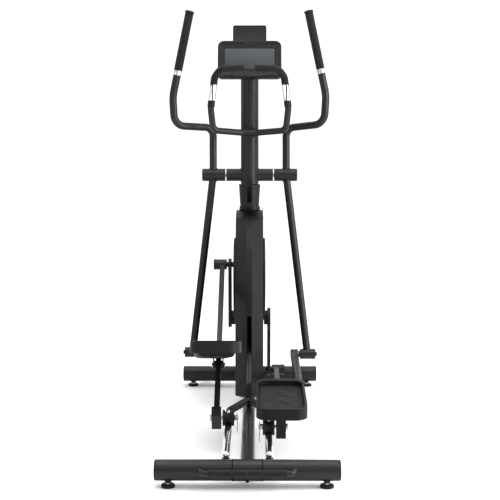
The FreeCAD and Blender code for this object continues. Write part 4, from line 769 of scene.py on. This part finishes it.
def console():
    """The case with a bezel and a parting line, the recessed display, a curved lip and a blank badge."""
    place = console_place()

    def layer(inset, out):
        low, high = max(18 - inset, 4), max(26 - inset, 4)
        return outline(CONSOLE_HALF - inset, inset, CONSOLE_HEIGHT - inset, [low, high, high, low]), out

    case = bmesh.new()
    back = -CONSOLE_DEPTH
    steps = [(13, back), (8, back + 3), (3, back + 10), (0.6, -24), (0, -19), (1.3, -18.6), (1.3, -17.6)]
    steps += [(0, -17.2), (0, -6), (0.7, -3), (2.4, -0.9), (5, 0), (9, -0.1), (11, -0.9)]
    recess = [plain(107, 34, 134, 6, -0.9), plain(105.4, 36.6, 131.4, 5, -2.6)]
    stack(case, [layer(*step) for step in steps] + recess, place)
    finished("console_case", case, "frame", "cover_plastic", nodes=["console_housing"])
    window = bmesh.new()
    edge = [plain(104.6, 37.4, 130.6, 4, -2.5), plain(104.6, 37.4, 130.6, 4, -1.2)]
    stack(window, edge + [plain(104.2, 37.8, 130.2, 4, -0.95)], place)
    finished("display_window", window, "frame", "screen", nodes=["console_screen"])
    lip = bmesh.new()
    path = Path([place @ Vector((x, 13 - 9 * (1 - (x / 112) ** 2), -1.4)) for x in range(-112, 113, 8)])
    rows = [(path.total * k / 24, 2.0 + 2.8 * math.sin(math.pi * k / 24)) for k in range(1, 24)]
    sweep(lip, path, [(0, 0), (1, 2.0), *rows, (path.total - 1, 2.0), (path.total, 0)], 16)
    finished("console_lip", lip, "frame", "panel_plastic")
    badge = bmesh.new()
    turns = [2 * math.pi * k / 40 for k in range(40)]
    layers = []
    for half, rise, out in ((BADGE_HALF, BADGE_RISE, -1.5), (BADGE_HALF, BADGE_RISE, -0.3),
                            (BADGE_HALF - 2, BADGE_RISE - 1.2, 0.0)):
        layers.append(([(half * math.cos(a), BADGE_HEIGHT + rise * math.sin(a)) for a in turns], out))
    stack(badge, layers, place)
    finished("console_badge", badge, "frame", "panel_plastic")


def tablet_rest():
    """A slim plate with a raised rim and a pair of hinge knuckles."""
    place = console_place() @ Matrix.Translation((0, CONSOLE_HEIGHT + 0.4, -14))

    def layer(inset, out):
        low, high = max(3 - inset, 1), 8 - inset
        return outline(REST_HALF - inset, inset, REST_HEIGHT - inset, [low, high, high, low]), out

    plate = bmesh.new()
    back = -REST_DEPTH
    steps = [(2, back), (0.5, back + 1.5), (0, back + 3), (0, -2.5), (0.6, -0.8), (1.8, 0), (4, 0), (5, -1.4)]
    stack(plate, [layer(*step) for step in steps + [(6, -1.6)]], place)
    for x in (-44, 44):
        knuckle = [(0, -9), (3.4, -9), (4, -8.2), (4, 8.2), (3.4, 9), (0, 9)]
        lathe(plate, knuckle, aim(place @ Vector((x, -1.2, -5)), AXIS_X), 24)
    finished("tablet_rest", plate, "frame", "cover_plastic", nodes=["tablet_holder"])


# ---------------------------------------------------------------- covers and drive

PANEL_RINGS = (98, 124)
COVER_SCREWS = ((610, 100), (640, 420), (585, 745), (300, 90), (470, 780))


def cover_details():
    """Raised rings and a boss on each side panel, and screws round the covers' edge."""
    panel_low, panel_high = box_mm("side_panels")
    centre = Vector((0, (panel_low.y + panel_high.y) / 2, (panel_low.z + panel_high.z) / 2))
    boss = [(0, -1), (40, -1), (42, 0.4), (40, 1.3), (34, 1.5), (31, 0.9), (0, 1.1)]
    rings = bmesh.new()
    for side in SIDES.values():
        place = aim(centre + AXIS_X * side * panel_high.x, AXIS_X * side)
        for radius in PANEL_RINGS:
            rows = [(radius - 3, -1), (radius - 2, 0.5), (radius, 1.1), (radius + 2, 0.5), (radius + 3, -1)]
            lathe(rings, rows, place, 96, closed=True)
        lathe(rings, boss, place, 72)
    finished("panel_rings", rings, "frame", "panel_plastic")
    screws = bmesh.new()
    cover = box_mm("right_shroud")[1].x
    for side in SIDES.values():
        for y, z in COVER_SCREWS:
            cap_screw(screws, (side * (cover - 0.4), y, z), AXIS_X * side, 4.4, 1.6)
    finished("cover_screws", screws, "frame", "black_steel")


def hub_caps():
    """Domed caps over the crank axle's ends, flush with the crank arms' outer faces."""
    low, high = box_mm("hub_covers")
    spin = joint_at("crank_spin")
    radius, depth = (high.z - low.z) / 2, 4
    rows = [(radius - 2, -1), (radius, -1), (radius, depth - 3), (radius - 1.5, depth - 1.2)]
    rows += [(radius - 5, depth - 0.2), (radius - 9, depth), (radius - 10, depth - 0.8), (radius - 11, depth)]
    rows += [(0, depth)]
    mesh = bmesh.new()
    for side in SIDES.values():
        lathe(mesh, rows, aim((side * (high.x - depth), spin.y, spin.z), AXIS_X * side), 64)
    finished("hub_caps", mesh, "crank", "cover_plastic", nodes=["hub_covers"])


CUP_Y, LIP_RADIUS, LIP_SIZE, LIP_STEPS = 451, 43.5, 2.3, 64
LIP_GAP = 30  # degrees, on the mast's side


def cup():
    """The rolled lip of the bottle holder, open on the mast's side."""
    centre = Vector((0, CUP_Y, box_mm("bottle_holder")[1].z - 2.4))
    turns = [2 * math.pi * i / 10 for i in range(10)]
    mesh = bmesh.new()
    loops = []
    for k in range(LIP_STEPS + 1):
        angle = math.radians(LIP_GAP / 2 - 90 + (360 - LIP_GAP) * k / LIP_STEPS)
        inward = Vector((math.cos(angle), math.sin(angle), 0))
        spot = centre - inward * LIP_RADIUS
        ring = [spot + (inward * math.cos(t) + AXIS_Z * math.sin(t)) * LIP_SIZE for t in turns]
        loops.append([mesh.verts.new(point) for point in ring])
    bridge(mesh, loops)
    mesh.faces.new(loops[0])
    mesh.faces.new(loops[-1])
    finished("cup_lip", mesh, "frame", "cover_plastic")


# ---------------------------------------------------------------- rollers, arms and pedals

THROAT, GROOVE, BORE = 17.6, 13.2, 6.3


def rollers():
    """Concave rollers that hug the rails, and the screws in their axles' inner ends."""
    for word, side in SIDES.items():
        node = f"{word}_roller"
        low, high = box_mm(node)
        at = joint_at(f"{word}_roller_spin")
        half, flange = (high.x - low.x) / 2, (high.z - low.z) / 2
        rows = [(BORE, -half), (flange - 2, -half), (flange, -half + 2), (flange, -GROOVE - 2.2)]
        rows += [(flange - 1, -GROOVE - 1)]
        for angle in (math.pi * (1 - k / 12) for k in range(13)):
            radius = THROAT + GROOVE - GROOVE * math.sin(angle)
            rows.append((min(radius, flange - 1.1), GROOVE * math.cos(angle)))
        rows += [(flange - 1, GROOVE + 1), (flange, GROOVE + 2.2), (flange, half - 2), (flange - 2, half)]
        mesh = bmesh.new()
        lathe(mesh, rows + [(BORE, half)], aim(at, AXIS_X), 64, closed=True)
        finished(f"{word}_spool", mesh, NODE_BODY[node], "rubber", nodes=[node])
        screw = bmesh.new()
        carrier_low, carrier_high = box_mm(f"{word}_roller_carrier")
        inner_end = carrier_low.x if side > 0 else carrier_high.x
        cap_screw(screw, (inner_end, at.y, at.z), -AXIS_X * side, 7, 2.5)
        finished(f"{word}_axle_screw", screw, f"{word}_carriage", "zinc")


def tread_lines(mesh, place, half, low, high, lift):
    """Thin raised lines on a foot tray's mat: waves that cross each other inside a plain border."""
    middle, reach = (low + high) / 2, (high - low) / 2
    spans = [k / 30 - 1 for k in range(61)]
    lines = []
    for share in (0.24, 0.5, 0.76):
        for turn in (-1, 1):
            sways = [half * share * turn * math.sin(math.pi * 1.5 * t + share * 2.2) for t in spans]
            lines.append([(sway, middle + reach * 0.94 * t) for sway, t in zip(sways, spans)])
    border = outline(half, low, high, [26] * 4)
    for line in lines + [border + border[:1]]:
        path = Path([place @ Vector((x, y, lift)) for x, y in line])
        rows = [(0, 0), (0.6, 0.7)] + [(d, 1.0) for d in path.between(1.4, path.total - 1.4)]
        sweep(mesh, path, rows + [(path.total - 0.6, 0.7), (path.total, 0)], 8)


TRAY_X, TRAY_HALF, TRAY_LENGTH, TRAY_DEPTH, TRAY_FLOOR = 117, 80, 352, 41, -22
REAR_WALL, FRONT_WALL = 9, 26


def pedal_details():
    """The tread mat in each foot tray, and the moulded base under it."""
    low, high = REAR_WALL - TRAY_LENGTH / 2, TRAY_LENGTH / 2 - FRONT_WALL
    for word, side in SIDES.items():
        tray_low, tray_high = box_mm(f"{word}_pedal")
        tilt = pedal_tilt(word)
        middle = Vector((side * TRAY_X, (tray_low.y + tray_high.y) / 2, tray_high.z))
        middle.y += math.sin(tilt) * TRAY_DEPTH / 2
        middle.z -= abs(math.sin(tilt)) * TRAY_LENGTH / 2
        place = Matrix.Translation(middle) @ Matrix.Rotation(tilt, 4, "X")
        mat = bmesh.new()
        steps = ((3, 30, -0.5), (3, 30, 1.6), (4, 29, 2.2), (7, 26, 2.2), (8, 25, 1.4))
        stack(mat, [plain(TRAY_HALF - inset, low + inset, high - inset, corner, TRAY_FLOOR + rise)
                    for inset, corner, rise in steps], place)
        tread_lines(mat, place, TRAY_HALF - 14, low + 16, high - 16, TRAY_FLOOR + 1.5)
        finished(f"{word}_tread", mat, f"{word}_step", "rubber")
        base = bmesh.new()
        steps = ((0, 0.5, 26), (1, -6.5, 26), (4, -12.5, 24), (12, -16.5, 18), (22, -17.5, 10))
        stack(base, [plain(68 - inset, inset - 96, 104 - 0.6 * inset, corner, drop - TRAY_DEPTH)
                     for inset, drop, corner in steps], place)
        finished(f"{word}_tray_base", base, f"{word}_step", "pedal_plastic")


def pedal_tilt(word):
    """How far a foot tray tips at rest, from the height and length of its CAD solid."""
    low, high = box_mm(f"{word}_pedal")
    tilt = math.atan2(high.z - low.z, high.y - low.y) - math.atan2(TRAY_DEPTH, TRAY_LENGTH)
    return -tilt if word == "left" else tilt


HINGE_X, HINGE_HALF, ARM_OUTER = 114, 23.3, 131


def arm_details():
    """Screws in both ends of the pedal hinges, and the nuts of the rollers' axles."""
    for word, side in SIDES.items():
        hinge, roller = joint_at(f"{word}_pedal_hinge"), joint_at(f"{word}_roller_spin")
        screws = bmesh.new()
        for turn in (-1, 1):
            spot = (side * HINGE_X + turn * HINGE_HALF, hinge.y, hinge.z)
            cap_screw(screws, spot, AXIS_X * turn, 9, 3)
        finished(f"{word}_hinge_screws", screws, f"{word}_step", "zinc")
        nut = bmesh.new()
        hex_nut(nut, (side * ARM_OUTER, roller.y, roller.z), AXIS_X * side, 8, 6)
        finished(f"{word}_arm_nut", nut, f"{word}_link", "zinc")


# ---------------------------------------------------------------- what the CAD already shapes well

EDGES = {
    "front_stabiliser": 0.8, "rear_stabiliser": 0.8, "rail_bracket": 1.0, "lift_handle": 0.8,
    "wheel_brackets": 0.8, "mast": 0.9, "pivot_axle": 1.0, "bottle_holder": 1.0, "handlebar": 0.8,
    "pulse_plates": 0.4, "side_panels": 2.6, "left_shroud": 3.0, "right_shroud": 3.0, "dc_inlet": 0.4,
    "crank_axle": 1.0, "left_crank_arm": 1.6, "right_crank_arm": 1.6,
}
SIDE_EDGES = {"roller_carrier": 0.7, "connecting_arm": 1.4, "crank_pin": 0.7, "pedal_arm": 0.8, "pedal": 3.2,
              "swing_arm": 1.2}


def carried_over():
    """Every other CAD node, rebuilt with rounded edges or given its own finish."""
    edges = dict(EDGES)
    for word in SIDES:
        edges.update({f"{word}_{name}": edge for name, edge in SIDE_EDGES.items()})
    for node, edge in edges.items():
        refined(node, edge, 3 if edge > 1.5 else 2)
    for node, piece in frame["nodes"].items():
        piece.data.materials.clear()
        piece.data.materials.append(FINISHES[NODE_SLOT[node]])


# ---------------------------------------------------------------- studio

FLOOR_HALF = 14.0  # metres
LIGHTS = (("left_box", (-2.4, -1.2, 1.5), 5, 1.2), ("right_box", (2.5, -1.1, 1.5), 90, 1.7),
          ("top_box", (0, -0.4, 3.8), 60, 2.6))  # name, place in metres, watts, size in metres
BACKDROP, CEILING, DIM_SIDE, LIT_SIDE = 1.15, 1.5, 0.5, 1.0
LENS, SENSOR = 73.36, 36  # mm
CAMERA_PLACE, CAMERA_DROP, CAMERA_TURN = (0.0259, -3.8605, 1.119), 6.30, 0.32  # metres and degrees


def room():
    """A white room that is dim on the left and behind the camera, and bright on the right and above."""
    world = bpy.data.worlds.new("studio")
    world.use_nodes = True
    tree = world.node_tree
    split = tree.nodes.new("ShaderNodeSeparateXYZ")
    tree.links.new(tree.nodes.new("ShaderNodeTexCoord").outputs["Generated"], split.inputs["Vector"])

    def ramp(source, start, end, low, high):
        node = tree.nodes.new("ShaderNodeMapRange")
        node.interpolation_type = "SMOOTHSTEP"
        tree.links.new(source, node.inputs["Value"])
        for key, value in zip(("From Min", "From Max", "To Min", "To Max"), (start, end, low, high)):
            if isinstance(value, bpy.types.NodeSocket):
                tree.links.new(value, node.inputs[key])
            else:
                node.inputs[key].default_value = value
        return node.outputs["Result"]

    sides = ramp(split.outputs["X"], -0.7, 0.7, DIM_SIDE, LIT_SIDE)
    walls = ramp(split.outputs["Y"], -0.1, 0.55, sides, BACKDROP)
    background = tree.nodes["Background"]
    background.inputs["Color"].default_value = (1, 1, 1, 1)
    tree.links.new(ramp(split.outputs["Z"], 0.3, 0.85, walls, CEILING), background.inputs["Strength"])
    return world


def studio():
    """A pale floor under a white room, soft lights on both sides and above, and the photograph's camera."""
    mesh = bmesh.new()
    bmesh.ops.create_grid(mesh, x_segments=8, y_segments=8, size=FLOOR_HALF)
    data = bpy.data.meshes.new("floor")
    mesh.to_mesh(data)
    mesh.free()
    floor = bpy.data.objects.new("floor", data)
    bpy.context.scene.collection.objects.link(floor)
    pale = Finish("pale_paper", specular=0.1)
    pale.colour(pale.mix(pale.span(pale.noise(1.5), 0, 1), (0.9, 0.9, 0.9), (0.93, 0.93, 0.93)))
    pale.rough(pale.span(pale.noise(3.0), 0.9, 0.98))
    data.materials.append(pale.material)

    bpy.context.scene.world = room()
    bpy.context.scene.view_settings.view_transform = "Standard"
    for name, place, power, size in LIGHTS:
        light = bpy.data.lights.new(name, "AREA")
        light.energy, light.size = power, size
        lamp = bpy.data.objects.new(name, light)
        lamp.location = place
        lamp.rotation_euler = (Vector((0, 0.1, 0.8)) - Vector(place)).to_track_quat("-Z", "Y").to_euler()
        bpy.context.scene.collection.objects.link(lamp)

    camera = bpy.data.objects.new("camera", bpy.data.cameras.new("camera"))
    camera.data.lens, camera.data.sensor_width = LENS, SENSOR
    camera.location = CAMERA_PLACE
    camera.rotation_euler = (math.radians(90 - CAMERA_DROP), 0, math.radians(CAMERA_TURN))
    bpy.context.scene.collection.objects.link(camera)
    bpy.context.scene.camera = camera


for make in (carried_over, end_caps, feet, transport_wheels, rails, spine, bar_details, lift_grips,
             mast_details, fixed_bar, handles, console, tablet_rest, cover_details, hub_caps, cup, rollers,
             pedal_details, arm_details, studio):
    make()
